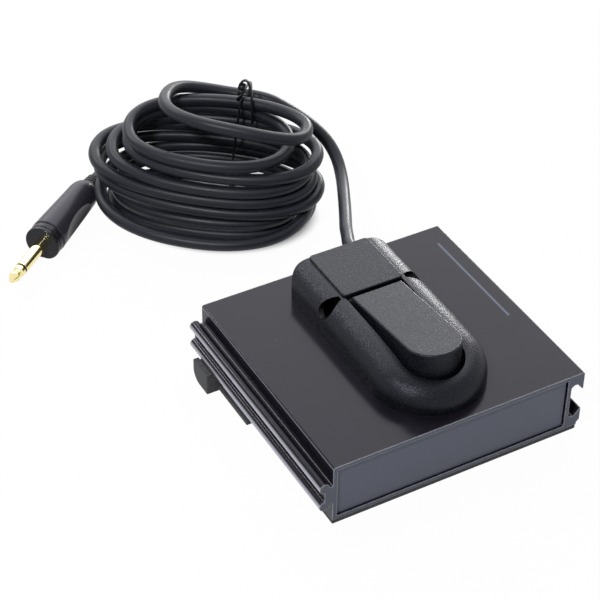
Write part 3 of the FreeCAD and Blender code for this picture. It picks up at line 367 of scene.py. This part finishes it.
def makeAnodised(look):
    material, tree, shader = newMaterial("blackAnodised", specular=look["specular"], tint=look["tint"])
    lines = useGroup(tree, "dieLines", pitch=look["linePitch"])
    wearAndHighlight = useGroup(tree, "edgeWearAndHighlight", breadth=look["edgeBreadth"], patchy=look["edgePatches"])
    dust = useGroup(tree, "dust", spacing=look["dustSpacing"], amount=look["dustAmount"])
    body = mixColor(tree, lines["Tone"], look["dark"], look["light"])
    place = addNode(tree, "ShaderNodeSeparateXYZ")
    feed(tree, place.inputs[0], millimetres(tree))
    x, y, z = place.outputs
    # The thin printed rule on the top plate
    inside = mathNode(tree, "GREATER_THAN", z, look["ruleZ"])
    for way, (low, high) in ((x, look["ruleX"]), (y, look["ruleY"])):
        away = mathNode(tree, "ABSOLUTE", mathNode(tree, "SUBTRACT", way, (low + high) / 2))
        inside = product(tree, inside, mathNode(tree, "LESS_THAN", away, (high - low) / 2))
    printed = mixColor(tree, inside, body, look["rule"])
    # Both end faces, past cutFrom, take a paler blue-grey like the end plates
    atEnd = mathNode(tree, "GREATER_THAN", mathNode(tree, "ABSOLUTE", y), look["cutFrom"])
    endToned = mixColor(tree, atEnd, printed, look["cut"])
    # Pale edge line: partly wear, partly a painted highlight along the box's edges
    edged = mixColor(tree, product(tree, wearAndHighlight["Mask"], look["edgeShare"]), endToned, look["edge"])
    # Painted highlight: the rail's outer faces and the box's left rim get a bright, partly metallic colour
    # that stands in for the white floor's reflection
    facing = addNode(tree, "ShaderNodeSeparateXYZ")
    feed(tree, facing.inputs[0], addNode(tree, "ShaderNodeNewGeometry").outputs["Normal"])
    outer = rampNode(tree, facing.outputs[0], *look["railFacing"], 0.0, look["railShare"])
    rail = product(tree, outer, mathNode(tree, "LESS_THAN", x, look["railFrom"]))
    above = mathNode(tree, "GREATER_THAN", z, look["rimZ"])
    rim = product(tree, above, mathNode(tree, "LESS_THAN", x, look["rimFrom"]))
    rubbedAndHighlight = mathNode(tree, "MAXIMUM", rail, product(tree, rim, look["rimShare"]))
    shown = mixColor(tree, rubbedAndHighlight, edged, look["railHighlight"])
    color = mixColor(tree, product(tree, dust["Mask"], look["dustShare"]), shown, look["dust"])
    feed(tree, shader.inputs["Base Color"], color)
    feed(tree, shader.inputs["Metallic"], product(tree, rubbedAndHighlight, look["highlightMetallic"]))
    addRoughness(tree, shader, lines["Tone"], *look["roughness"])
    addBump(tree, shader, lines["Height"], look["lineDepth"], look["lineStrength"])
    return material


# Both end plates: satin paint
paintLook = {
    "specular": 0.25,
    "dark": (0.110, 0.120, 0.165),
    "light": (0.135, 0.148, 0.200),
    "edge": (0.36, 0.38, 0.44),
    "edgeShare": 0.5,
    "edgeBreadth": 0.3,
    "edgePatches": 0.5,
    "roughness": (0.34, 0.46),
    "grainPitch": 0.5,
    "grainSpread": 0.4,
    "grainDepth": 0.02,
    "grainStrength": 0.35,
}


def makePaint(look):
    material, tree, shader = newMaterial("satinPaint", specular=look["specular"])
    grain = useGroup(tree, "mouldGrain", pitch=look["grainPitch"], spread=look["grainSpread"])
    wearAndHighlight = useGroup(tree, "edgeWearAndHighlight", breadth=look["edgeBreadth"], patchy=look["edgePatches"])
    body = mixColor(tree, grain["Tone"], look["dark"], look["light"])
    color = mixColor(tree, product(tree, wearAndHighlight["Mask"], look["edgeShare"]), body, look["edge"])
    feed(tree, shader.inputs["Base Color"], color)
    addRoughness(tree, shader, grain["Tone"], *look["roughness"])
    addBump(tree, shader, grain["Height"], look["grainDepth"], look["grainStrength"])
    return material


# What all moulded pieces share, then each one's own tones, grain and dust
mouldedLook = {
    "specular": 0.22,
    "tint": (0.84, 0.85, 1.0),
    "edgeShare": 0.4,
    "edgeBreadth": 0.4,
    "edgePatches": 0.6,
    "dust": (0.28, 0.28, 0.29),
    "dustShare": 0.3,
    "dustSpacing": 2.4,
    "dustAmount": 0.1,
    "roughnessSpread": 0.06,
    "grainSpread": 0.7,
    "grainStrength": 0.4,
    "boreShade": (0.001, 0.001, 0.001),
}
shellLook = {
    "name": "shellPlastic",
    "dark": (0.002, 0.0026, 0.004),
    "light": (0.0165, 0.018, 0.025),
    "edge": (0.16, 0.165, 0.18),
    "roughness": 0.31,
    "grainPitch": 0.5,
    "grainDepth": 0.12,
    "grainStrength": 0.9,
    "dustAmount": 0.25,
    "bore": {"y": 18.0, "z": 46.0, "radius": 4.3},
}
treadleLook = {
    "name": "treadlePlastic",
    "dark": (0.002, 0.0026, 0.004),
    "light": (0.017, 0.0187, 0.0265),
    "edge": (0.16, 0.165, 0.18),
    "roughness": 0.31,
    "grainPitch": 0.5,
    "grainDepth": 0.12,
    "grainStrength": 0.9,
    "dustAmount": 0.25,
}
matLook = {
    "name": "matRubber",
    "dark": (0.055, 0.056, 0.060),
    "light": (0.095, 0.096, 0.102),
    "edge": (0.16, 0.16, 0.17),
    "roughness": 0.72,
    "grainPitch": 1.2,
    "grainDepth": 0.08,
    "grainStrength": 0.8,
    "dustAmount": 0.25,
}
barrelLook = {
    "name": "barrelPlastic",
    "dark": (0.026, 0.0245, 0.033),
    "light": (0.042, 0.040, 0.052),
    "edge": (0.05, 0.05, 0.055),
    "roughness": 0.36,
    "grainPitch": 0.8,
    "grainDepth": 0.02,
    "grainStrength": 0.5,
    "dustAmount": 0.15,
}
bootLook = {
    "name": "bootRubber",
    "dark": (0.012, 0.0125, 0.014),
    "light": (0.021, 0.0215, 0.024),
    "edge": (0.045, 0.045, 0.048),
    "roughness": 0.45,
    "grainPitch": 0.7,
    "grainDepth": 0.02,
    "grainStrength": 0.5,
    "dustAmount": 0.15,
}
tieLook = {
    "name": "tiePlastic",
    "dark": (0.010, 0.010, 0.011),
    "light": (0.018, 0.018, 0.020),
    "edge": (0.05, 0.05, 0.055),
    "roughness": 0.28,
    "grainPitch": 0.9,
    "grainDepth": 0.02,
}
collarLook = {
    "name": "collarBlack",
    "dark": (0.012, 0.012, 0.014),
    "light": (0.020, 0.020, 0.023),
    "edge": (0.09, 0.09, 0.1),
    "roughness": 0.30,
    "grainPitch": 0.6,
    "grainDepth": 0.01,
}
insulatorLook = {
    "name": "insulatorPlastic",
    "dark": (0.008, 0.008, 0.008),
    "light": (0.014, 0.014, 0.014),
    "edge": (0.03, 0.03, 0.03),
    "roughness": 0.25,
    "grainPitch": 0.8,
    "grainDepth": 0.01,
    "dustAmount": 0.05,
}
plungerLook = {
    "name": "plungerNylon",
    "dark": (0.62, 0.58, 0.47),
    "light": (0.72, 0.69, 0.58),
    "edge": (0.78, 0.75, 0.66),
    "roughness": 0.35,
    "grainPitch": 0.8,
    "grainDepth": 0.02,
}
wireLook = {
    "name": "wireJacket",
    "dark": (0.42, 0.03, 0.02),
    "light": (0.55, 0.05, 0.03),
    "edge": (0.6, 0.1, 0.08),
    "roughness": 0.35,
    "grainPitch": 0.8,
    "grainDepth": 0.01,
}


def makeMoulded(own):
    look = {**mouldedLook, **own}
    material, tree, shader = newMaterial(look["name"], specular=look["specular"], tint=look["tint"])
    grain = useGroup(tree, "mouldGrain", pitch=look["grainPitch"], spread=look["grainSpread"])
    wearAndHighlight = useGroup(tree, "edgeWearAndHighlight", breadth=look["edgeBreadth"], patchy=look["edgePatches"])
    dust = useGroup(tree, "dust", spacing=look["dustSpacing"], amount=look["dustAmount"])
    body = mixColor(tree, grain["Tone"], look["dark"], look["light"])
    # Pale edge line: partly wear, partly a painted highlight along the moulding's edges
    edged = mixColor(tree, product(tree, wearAndHighlight["Mask"], look["edgeShare"]), body, look["edge"])
    color = mixColor(tree, product(tree, dust["Mask"], look["dustShare"]), edged, look["dust"])
    if "bore" in look:
        # Painted shade: the cross bore's wall is coloured black where shade falls inside it
        bore = look["bore"]
        away = addNode(tree, "ShaderNodeVectorMath", operation="DISTANCE")
        feed(tree, away.inputs[0], stretched(tree, millimetres(tree), (0.0, 1.0, 1.0)))
        away.inputs[1].default_value = (0.0, bore["y"], bore["z"])
        within = mathNode(tree, "LESS_THAN", away.outputs["Value"], bore["radius"])
        color = mixColor(tree, within, color, look["boreShade"])
    feed(tree, shader.inputs["Base Color"], color)
    middle, spread = look["roughness"], look["roughnessSpread"]
    addRoughness(tree, shader, grain["Tone"], middle - spread, middle + spread)
    addBump(tree, shader, grain["Height"], look["grainDepth"], look["grainStrength"])
    return material


# What all bare metals share, then each one's own tones and tool marks
metalLook = {
    "marksPitch": (1.0, 1.0, 1.0),
    "marksScale": 3.0,
    "marksDepth": 0.01,
    "marksStrength": 0.4,
    "driftScale": 0.4,
    "roughnessShare": 0.3,
}
goldLook = {
    "name": "goldPlate",
    "dark": (0.85, 0.71, 0.32),
    "light": (0.97, 0.87, 0.50),
    "roughness": 0.10,
    "marksDepth": 0.003,
}
brassLook = {
    "name": "turnedBrass",
    "dark": (0.60, 0.44, 0.18),
    "light": (0.76, 0.60, 0.30),
    "roughness": 0.28,
    "marksPitch": (0.2, 1.0, 1.0),
}
tinLook = {
    "name": "tinPlate",
    "dark": (0.60, 0.58, 0.52),
    "light": (0.74, 0.71, 0.62),
    "roughness": 0.30,
    "marksPitch": (1.0, 1.0, 0.1),
}
zincLook = {
    "name": "zincPlate",
    "dark": (0.46, 0.46, 0.47),
    "light": (0.62, 0.62, 0.63),
    "roughness": 0.28,
}


def makeMetal(own):
    # Tone drifts and fine tool marks
    look = {**metalLook, **own}
    material, tree, shader = newMaterial(look["name"], metallic=1.0)
    place = millimetres(tree)
    marks = noiseNode(tree, stretched(tree, place, look["marksPitch"]), look["marksScale"], 3.0, 0.6)
    drift = noiseNode(tree, place, look["driftScale"], 3.0)
    feed(tree, shader.inputs["Base Color"], mixColor(tree, drift, look["dark"], look["light"]))
    middle, spread = look["roughness"], look["roughness"] * look["roughnessShare"]
    addRoughness(tree, shader, marks, middle - spread, middle + spread)
    addBump(tree, shader, marks, look["marksDepth"], look["marksStrength"])
    return material


# The cord's jacket: dull rubber with bloom, scuffs and dust
jacketLook = {
    "specular": 0.22,
    "dark": (0.010, 0.012, 0.018),
    "light": (0.018, 0.0215, 0.030),
    "bloomScale": 0.09,
    "skinScale": 2.2,
    "skinShare": 0.3,
    "skinDepth": 0.03,
    "skinStrength": 0.35,
    "scuff": (0.055, 0.058, 0.068),
    "scuffScale": 0.5,
    "scuffRange": (0.56, 0.74),
    "scuffShare": 0.35,
    "dust": (0.25, 0.25, 0.26),
    "dustShare": 0.25,
    "dustSpacing": 1.6,
    "dustAmount": 0.3,
    "roughness": (0.34, 0.44),
}


def makeJacket(look):
    material, tree, shader = newMaterial("cordJacket", specular=look["specular"])
    place = millimetres(tree)
    bloom = noiseNode(tree, place, look["bloomScale"], 4.0, 0.6)
    skin = noiseNode(tree, place, look["skinScale"], 3.0, 0.6)
    scuff = rampNode(tree, noiseNode(tree, place, look["scuffScale"], 5.0, 0.7), *look["scuffRange"])
    dust = useGroup(tree, "dust", spacing=look["dustSpacing"], amount=look["dustAmount"])
    tone = blended(tree, skin, bloom, look["skinShare"])
    body = mixColor(tree, tone, look["dark"], look["light"])
    rubbedAndHighlight = mixColor(tree, product(tree, scuff, look["scuffShare"]), body, look["scuff"])
    color = mixColor(tree, product(tree, dust["Mask"], look["dustShare"]), rubbedAndHighlight, look["dust"])
    feed(tree, shader.inputs["Base Color"], color)
    addRoughness(tree, shader, tone, *look["roughness"])
    addBump(tree, shader, skin, look["skinDepth"], look["skinStrength"])
    return material


materials = {
    "anodised": makeAnodised(anodisedLook),
    "end_plate": makePaint(paintLook),
    "mat_rubber": makeMoulded(matLook),
    "black_plastic": makeMoulded(shellLook),
    "treadle_plastic": makeMoulded(treadleLook),
    "barrel_plastic": makeMoulded(barrelLook),
    "boot_rubber": makeMoulded(bootLook),
    "cord_jacket": makeJacket(jacketLook),
    "tie_plastic": makeMoulded(tieLook),
    "collar_metal": makeMoulded(collarLook),
    "insulator_plastic": makeMoulded(insulatorLook),
    "plunger_plastic": makeMoulded(plungerLook),
    "wire_jacket": makeMoulded(wireLook),
    "gold": makeMetal(goldLook),
    "brass": makeMetal(brassLook),
    "terminal_metal": makeMetal(tinLook),
    "steel": makeMetal(zincLook),
}
print("stage: materials ready,", len(materials))
slotOf = {row["node"]: row["material_slot"] for row in frame["record"]["subparts"]}
slotOf.update({"cord_bushing": "boot_rubber", "plug_boot": "boot_rubber"})


# CAD pieces: finish and softened edges, each with its rounding in millimetres

edgeSetup = {
    "profile": 0.25,
    "front_end_plate": 0.25,
    "rear_end_plate": 0.25,
    "rubber_mat": 0.4,
    "side_block": 0.5,
    "switch_shell": 0.45,
    "plug_tip": 0.12,
    "plug_insulator": 0.06,
    "plug_sleeve": 0.12,
    "plug_collar": 0.15,
    "plug_barrel": 0.35,
    "plug_boot": 0.2,
    "switch_base": 0.3,
    "mount_screws": 0.2,
    "side_block_screw": 0.2,
}
softenSetup = {
    "weldReach": 0.002,
    "flatTurn": 0.4,
    "sharpTurn": 35,
    "segments": 3,
    "faceWeight": 80,
}


def softenEdges(piece, width, setup):
    # Joins the facets of flat faces, rounds the edges that turn sharply and evens the shading
    weld = piece.modifiers.new("weld", "WELD")
    weld.merge_threshold = setup["weldReach"] * mm
    flat = piece.modifiers.new("flat", "DECIMATE")
    flat.decimate_type = "DISSOLVE"
    flat.angle_limit = math.radians(setup["flatTurn"])
    edge = piece.modifiers.new("edge", "BEVEL")
    edge.width = width * mm
    edge.segments = setup["segments"]
    edge.limit_method = "ANGLE"
    edge.angle_limit = math.radians(setup["sharpTurn"])
    shade = piece.modifiers.new("shade", "WEIGHTED_NORMAL")
    shade.weight = setup["faceWeight"]
    shade.keep_sharp = False


for name, node in cadNodes.items():
    node.data.materials.clear()
    node.data.materials.append(materials[slotOf[name]])
    if name in edgeSetup:
        softenEdges(node, edgeSetup[name], softenSetup)
print("stage: CAD pieces finished")


# Cord: one smooth line from the switch through the coil to the plug

# For each turn from the top one down: how far it lies from the coil's middle at its back, left, front and
# right, and how high it is there. The last back value belongs to the end of the coil.
coilSetup = {
    "middle": (-4.5, 165.6),
    "turn": 41.0,
    "handle": 0.64,
    "quarterSteps": 4,
    "climbEase": 1.1,
    "endShift": 7.0,
    "back": (32.7, 20.4, 23.0, 24.3, 25.5, 26.0, 28.0, 29.0, 20.2, 35.0),
    "left": (24.5, 41.2, 42.2, 50.8, 60.6, 58.4, 55.5, 49.8, 52.6),
    "front": (21.0, 28.2, 27.2, 30.2, 29.6, 29.1, 45.0, 29.3, 26.9),
    "right": (48.6, 39.8, 54.3, 49.5, 51.4, 55.0, 51.0, 43.3, 50.0),
    "backRise": (49.4, 52.8, 46.1, 38.8, 31.9, 25.0, 18.3, 10.5, 5.2, 5.3),
    "leftRise": (62.1, 49.1, 41.3, 36.2, 30.2, 23.0, 15.8, 10.4, 3.2),
    "frontRise": (64.8, 46.6, 39.2, 33.1, 26.4, 19.2, 10.6, 12.2, 3.3),
    "rightRise": (54.2, 45.5, 40.3, 32.4, 25.6, 19.3, 12.6, 10.3, 4.6),
}
cordSetup = {
    "radius": 3.15,
    "length": 2.52,  # metres
    "exit": (12.1, 49.8, 42.5),
    "lead": (
        (12.1, 57.0, 42.5), (16.6, 65.5, 40.5), (22.4, 77.0, 35.5), (30.8, 91.5, 30.0),
        (40.9, 110.0, 26.0), (50.1, 128.0, 24.2), (54.0, 140.6, 28.3), (52.9, 150.8, 34.0),
        (47.7, 160.8, 39.6), (40.4, 169.8, 44.8),
    ),
    "leadEnd": 8.5,
    "tail": (
        (-12.5, 35.0, 5.3), (-21.8, 34.0, 5.0), (-32.3, 31.6, 4.8), (-42.3, 27.4, 5.0), (-50.8, 21.4, 5.8),
        (-57.2, 14.0, 7.0),
    ),
    "tailEnd": 8.2,
    "plugTip": (-123.3, 148.4, 8.25),
    "plugTurn": 38.9,
    "plugLength": 90.5,
    "roundness": 7,
    "smoothness": 8,
}


def coilAxes(setup):
    turn = math.radians(setup["turn"])
    along = Vector((math.cos(turn), -math.sin(turn), 0))
    return Vector((*setup["middle"], 0)), along, Vector((-along.y, along.x, 0))


def coilPoint(setup, p, q, z):
    middle, along, across = coilAxes(setup)
    return middle + along * p + across * q + Vector((0, 0, z))


def coilStations(setup):
    # Quarter-turn points and headings, from the top turn's back down to the last turn's back
    _, along, across = coilAxes(setup)
    spots = []
    headings = []
    lastRight = setup["right"][0]
    for turn, reach in enumerate(setup["left"]):
        back, ahead = setup["back"][turn], setup["back"][turn + 1]
        edge, side = setup["front"][turn], setup["right"][turn]
        spots.append(((lastRight - reach) / 2, back, setup["backRise"][turn]))
        spots.append((-reach, (back - edge) / 2, setup["leftRise"][turn]))
        spots.append(((side - reach) / 2, -edge, setup["frontRise"][turn]))
        spots.append((side, (ahead - edge) / 2, setup["rightRise"][turn]))
        headings.extend([-along, -across, along, across])
        lastRight = side
    lastMiddle = (lastRight - setup["left"][-1] - setup["endShift"]) / 2
    spots.append((lastMiddle, setup["back"][-1], setup["backRise"][-1]))
    headings.append(-along)
    places = [coilPoint(setup, *spot) for spot in spots]
    for index in range(1, len(places) - 1):
        before, here, after = places[index - 1:index + 2]
        run = (here.xy - before.xy).length + (after.xy - here.xy).length
        climb = (after.z - before.z) / (setup["climbEase"] * run)
        headings[index] = (headings[index] + Vector((0, 0, climb))).normalized()
    return list(zip(places, headings))


def quarterTurn(start, way, end, endWay, handle, steps):
    # The points that carry the line through one quarter of a turn
    span = end - start
    startArm = way * span.dot(way) * handle
    endArm = endWay * span.dot(endWay) * handle
    hull = (start, start + startArm, end - endArm, end)

    def spotAt(t):
        u = 1 - t
        return hull[0] * u ** 3 + hull[1] * 3 * u * u * t + hull[2] * 3 * u * t * t + hull[3] * t ** 3

    def speedAt(t):
        u = 1 - t
        legs = [after - before for before, after in zip(hull, hull[1:])]
        return (legs[0] * u * u + legs[1] * 2 * u * t + legs[2] * t * t) * 3

    half = 1 / (2 * steps)
    points = []
    for step in range(steps):
        t0, t1 = step / steps, (step + 1) / steps
        points.append((spotAt(t0) + speedAt(t0) * half + spotAt(t1) - speedAt(t1) * half) / 2)
    return points


def cordPoints(setup, coil):
    stations = coilStations(coil)
    start, way = stations[0]
    plugTurn = math.radians(setup["plugTurn"])
    plugWay = Vector((math.cos(plugTurn), math.sin(plugTurn), 0))
    bootEnd = Vector(setup["plugTip"]) + plugWay * setup["plugLength"]
    points = [Vector(setup["exit"])] + [Vector(point) for point in setup["lead"]]
    points.append(start - way * setup["leadEnd"])
    for (here, headingHere), (there, headingThere) in zip(stations, stations[1:]):
        points.extend(quarterTurn(
            here, headingHere, there, headingThere, coil["handle"], coil["quarterSteps"],
        ))
    points.extend(coilPoint(coil, *point) for point in setup["tail"])
    points.extend([bootEnd + plugWay * setup["tailEnd"], bootEnd])
    return points


def smoothLine(name, points, radius, roundness, smoothness):
    data = bpy.data.curves.new(name, "CURVE")
    data.dimensions = "3D"
    data.resolution_u = smoothness
    data.bevel_depth = radius * mm
    data.bevel_resolution = roundness
    data.use_fill_caps = radius > 0
    data.twist_mode = "MINIMUM"
    spline = data.splines.new("NURBS")
    spline.points.add(len(points) - 1)
    for spot, point in zip(spline.points, points):
        spot.co = (*(Vector(point) * mm), 1.0)
    spline.order_u = 3
    spline.use_endpoint_u = True
    piece = bpy.data.objects.new(name, data)
    scene.collection.objects.link(piece)
    return piece


cordLine = cordPoints(cordSetup, coilSetup)
cord = smoothLine("cord", cordLine, cordSetup["radius"], cordSetup["roundness"], cordSetup["smoothness"])
cord.data.materials.append(materials["cord_jacket"])
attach(cord, "base")
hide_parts("cord_lead", "cord_coil", "cord_tail")
print("stage: cord laid,", len(cordLine), "points")


# Swept wires

def sampled(points, smoothness):
    # Places along the smooth line that these points guide
    line = smoothLine("sampleLine", points, 0.0, 0, smoothness)
    bpy.context.view_layer.update()
    depsgraph = bpy.context.evaluated_depsgraph_get()
    mesh = bpy.data.meshes.new_from_object(line.evaluated_get(depsgraph))
    spots = [Vector(vertex.co) / mm for vertex in mesh.vertices]
    bpy.data.meshes.remove(mesh)
    bpy.data.objects.remove(line)
    return spots


def sweptMesh(name, path, wide, thick, sides):
    # A strip of oval section along the path
    mesh = bmesh.new()
    rings = []
    normal = None
    for index, place in enumerate(path):
        ahead = path[min(index + 1, len(path) - 1)] - path[max(index - 1, 0)]
        ahead.normalize()
        if normal is None:
            normal = ahead.orthogonal().normalized()
        normal = (normal - ahead * normal.dot(ahead)).normalized()
        side = ahead.cross(normal)
        ring = []
        for step in range(sides):
            angle = 2 * math.pi * step / sides
            offset = normal * (math.cos(angle) * wide / 2) + side * (math.sin(angle) * thick / 2)
            ring.append(mesh.verts.new((place + offset) * mm))
        rings.append(ring)
    for before, after in zip(rings, rings[1:]):
        for step in range(sides):
            other = (step + 1) % sides
            mesh.faces.new((before[step], before[other], after[other], after[step]))
    mesh.faces.new(list(reversed(rings[0])))
    mesh.faces.new(rings[-1])
    bmesh.ops.recalc_face_normals(mesh, faces=mesh.faces)
    data = bpy.data.meshes.new(name)
    mesh.to_mesh(data)
    mesh.free()
    for face in data.polygons:
        face.use_smooth = len(face.vertices) == 4
    piece = bpy.data.objects.new(name, data)
    scene.collection.objects.link(piece)
    return piece


# The return spring rests on the base and stands up under the treadle
springSetup = {
    "middle": (1.7, -25.0),
    "low": 35.5,
    "high": 52.5,
    "radius": 4.0,
    "wire": 0.9,
    "turns": 7,
    "stepsPerTurn": 32,
    "sides": 10,
    "seatGap": 0.02,
    "pressedShare": 0.70,
}


def makeSpring(setup):
    low = setup["low"] + setup["wire"] / 2 + setup["seatGap"]
    high = setup["high"] - setup["wire"] / 2 - setup["seatGap"]
    steps = setup["stepsPerTurn"] * setup["turns"]
    path = []
    for step in range(steps + 1):
        angle = 2 * math.pi * setup["turns"] * step / steps
        path.append(Vector((
            setup["middle"][0] + setup["radius"] * math.cos(angle),
            setup["middle"][1] + setup["radius"] * math.sin(angle),
            low + (high - low) * step / steps,
        )))
    spring = sweptMesh("returnSpring", path, setup["wire"], setup["wire"], setup["sides"])
    spring.data.materials.append(materials["steel"])
    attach(spring, "base")
    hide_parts("return_spring")
    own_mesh(spring)


makeSpring(springSetup)
print("stage: spring wound")


# Twist tie round the coil's back strands

# Its points are along the coil's long way, across it and up
tieSetup = {
    "wide": 2.9,
    "thick": 1.3,
    "inner": (
        (17.6, 15.0, 45.0), (17.5, 14.8, 53.0), (16.8, 17.4, 60.5), (14.6, 20.2, 66.2), (12.0, 20.6, 66.6),
    ),
    "twistTop": (11.0, 20.0, 64.5),
    "twistLow": (10.6, 17.2, 56.4),
    "down": ((10.6, 15.0, 50.0), (8.6, 14.8, 34.0), (5.6, 14.6, 6.0), (5.4, 15.6, 1.2)),
    "under": ((6.6, 26.0, 1.0), (8.6, 38.8, 1.2)),
    "up": ((9.0, 40.2, 6.0), (10.2, 40.0, 30.0), (11.2, 39.0, 51.0), (11.4, 34.8, 56.0), (11.6, 25.0, 58.6)),
    "twistTurns": 1.75,
    "twistRadius": 0.85,
    "twistSteps": 12,
    "smoothness": 5,
    "sides": 12,
}


def twistedStrand(setup, phase):
    # One strand's places along the twisted stretch, from its top down
    top, low = Vector(setup["twistTop"]), Vector(setup["twistLow"])
    axis = (low - top).normalized()
    first = axis.orthogonal().normalized()
    second = axis.cross(first)
    points = []
    for step in range(setup["twistSteps"] + 1):
        share = step / setup["twistSteps"]
        angle = phase + 2 * math.pi * setup["twistTurns"] * share
        around = first * math.cos(angle) + second * math.sin(angle)
        points.append(top.lerp(low, share) + around * setup["twistRadius"])
    return points


def makeTie(setup):
    points = [*setup["inner"], *twistedStrand(setup, 0.0)]
    points += [*setup["down"], *setup["under"], *setup["up"]]
    points += reversed(twistedStrand(setup, math.pi))
    path = sampled([coilPoint(coilSetup, *point) for point in points], setup["smoothness"])
    tie = sweptMesh("twistTie", path, setup["wide"], setup["thick"], setup["sides"])
    tie.data.materials.append(materials["tie_plastic"])
    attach(tie, "base")
    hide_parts("twist_tie")
    return tie


tie = makeTie(tieSetup)
print("stage: tie twisted")


# Studio

# The floor, the lamps' places and sizes and their aim are in metres, and their power in watts
studioSetup = {
    "floorSize": 6.0,
    "floorWhite": 0.88,
    "floorShare": 0.97,
    "shadeSquash": 0.7,
    "shadeReach": (33.0, 40.0),
    "worldLight": 0.08,
    "key": {"place": (0.53, 1.02, 0.91), "size": 1.8, "power": 24.0},
    "glint": {"place": (-0.47, 0.92, 0.82), "size": 0.20, "power": 3.4},
    "front": {"place": (-0.66, -0.36, 0.92), "size": 0.12, "power": 7.0},
    "side": {"place": (0.90, 0.84, 0.14), "size": 0.25, "power": 4.5},
    "aim": (0.0, 0.08, 0.02),
}


def showsBackground(tree):
    # 1 where the camera, a mirror reflection or glass looks at the surface
    path = addNode(tree, "ShaderNodeLightPath")
    seen = mathNode(tree, "MAXIMUM", path.outputs["Is Camera Ray"], path.outputs["Is Glossy Ray"])
    return mathNode(tree, "MAXIMUM", seen, path.outputs["Is Transmission Ray"])


def coilReach(tree, squash):
    # Distance from the coil's middle on the floor, shortened along the coil's long way
    middle, along, across = coilAxes(coilSetup)
    away = addNode(tree, "ShaderNodeVectorMath", operation="SUBTRACT")
    feed(tree, away.inputs[0], millimetres(tree))
    away.inputs[1].default_value = middle
    parts = []
    for way in (along * squash, across):
        part = addNode(tree, "ShaderNodeVectorMath", operation="DOT_PRODUCT")
        feed(tree, part.inputs[0], away.outputs[0])
        part.inputs[1].default_value = way
        parts.append(mathNode(tree, "POWER", part.outputs["Value"], 2.0))
    return mathNode(tree, "SQRT", mathNode(tree, "ADD", *parts))


def makeFloor(setup):
    half = setup["floorSize"] / 2
    data = bpy.data.meshes.new("floor")
    corners = [(-half, -half, 0), (half, -half, 0), (half, half, 0), (-half, half, 0)]
    data.from_pydata(corners, [], [(0, 1, 2, 3)])
    floor = bpy.data.objects.new("floor", data)
    scene.collection.objects.link(floor)
    material = bpy.data.materials.new("floorPaper")
    material.use_nodes = True
    tree = material.node_tree
    tree.nodes.remove(tree.nodes["Principled BSDF"])
    paper = addNode(tree, "ShaderNodeBsdfDiffuse")
    paper.inputs["Color"].default_value = (setup["floorWhite"],) * 3 + (1.0,)
    white = addNode(tree, "ShaderNodeEmission")
    blend = addNode(tree, "ShaderNodeMixShader")
    reach = coilReach(tree, setup["shadeSquash"])
    share = rampNode(tree, reach, *setup["shadeReach"], 0.0, setup["floorShare"])
    feed(tree, blend.inputs[0], product(tree, showsBackground(tree), share))
    tree.links.new(paper.outputs[0], blend.inputs[1])
    tree.links.new(white.outputs[0], blend.inputs[2])
    tree.links.new(blend.outputs[0], tree.nodes["Material Output"].inputs["Surface"])
    data.materials.append(material)


def makeWorld(setup):
    world = bpy.data.worlds.new("studio")
    scene.world = world
    world.use_nodes = True
    tree = world.node_tree
    light = setup["worldLight"]
    strength = mathNode(tree, "MULTIPLY_ADD", showsBackground(tree), 1.0 - light, light)
    tree.nodes["Background"].inputs["Color"].default_value = (1.0, 1.0, 1.0, 1.0)
    feed(tree, tree.nodes["Background"].inputs["Strength"], strength)


def makeLamp(name, setup, aim):
    data = bpy.data.lights.new(name, "AREA")
    data.energy = setup["power"]
    data.size = setup["size"]
    lamp = bpy.data.objects.new(name, data)
    scene.collection.objects.link(lamp)
    lamp.location = setup["place"]
    lamp.rotation_euler = (Vector(aim) - lamp.location).to_track_quat("-Z", "Y").to_euler()


makeFloor(studioSetup)
makeWorld(studioSetup)
for name in ("key", "glint", "front", "side"):
    makeLamp(name + "Lamp", studioSetup[name], studioSetup["aim"])
print("stage: studio lit")
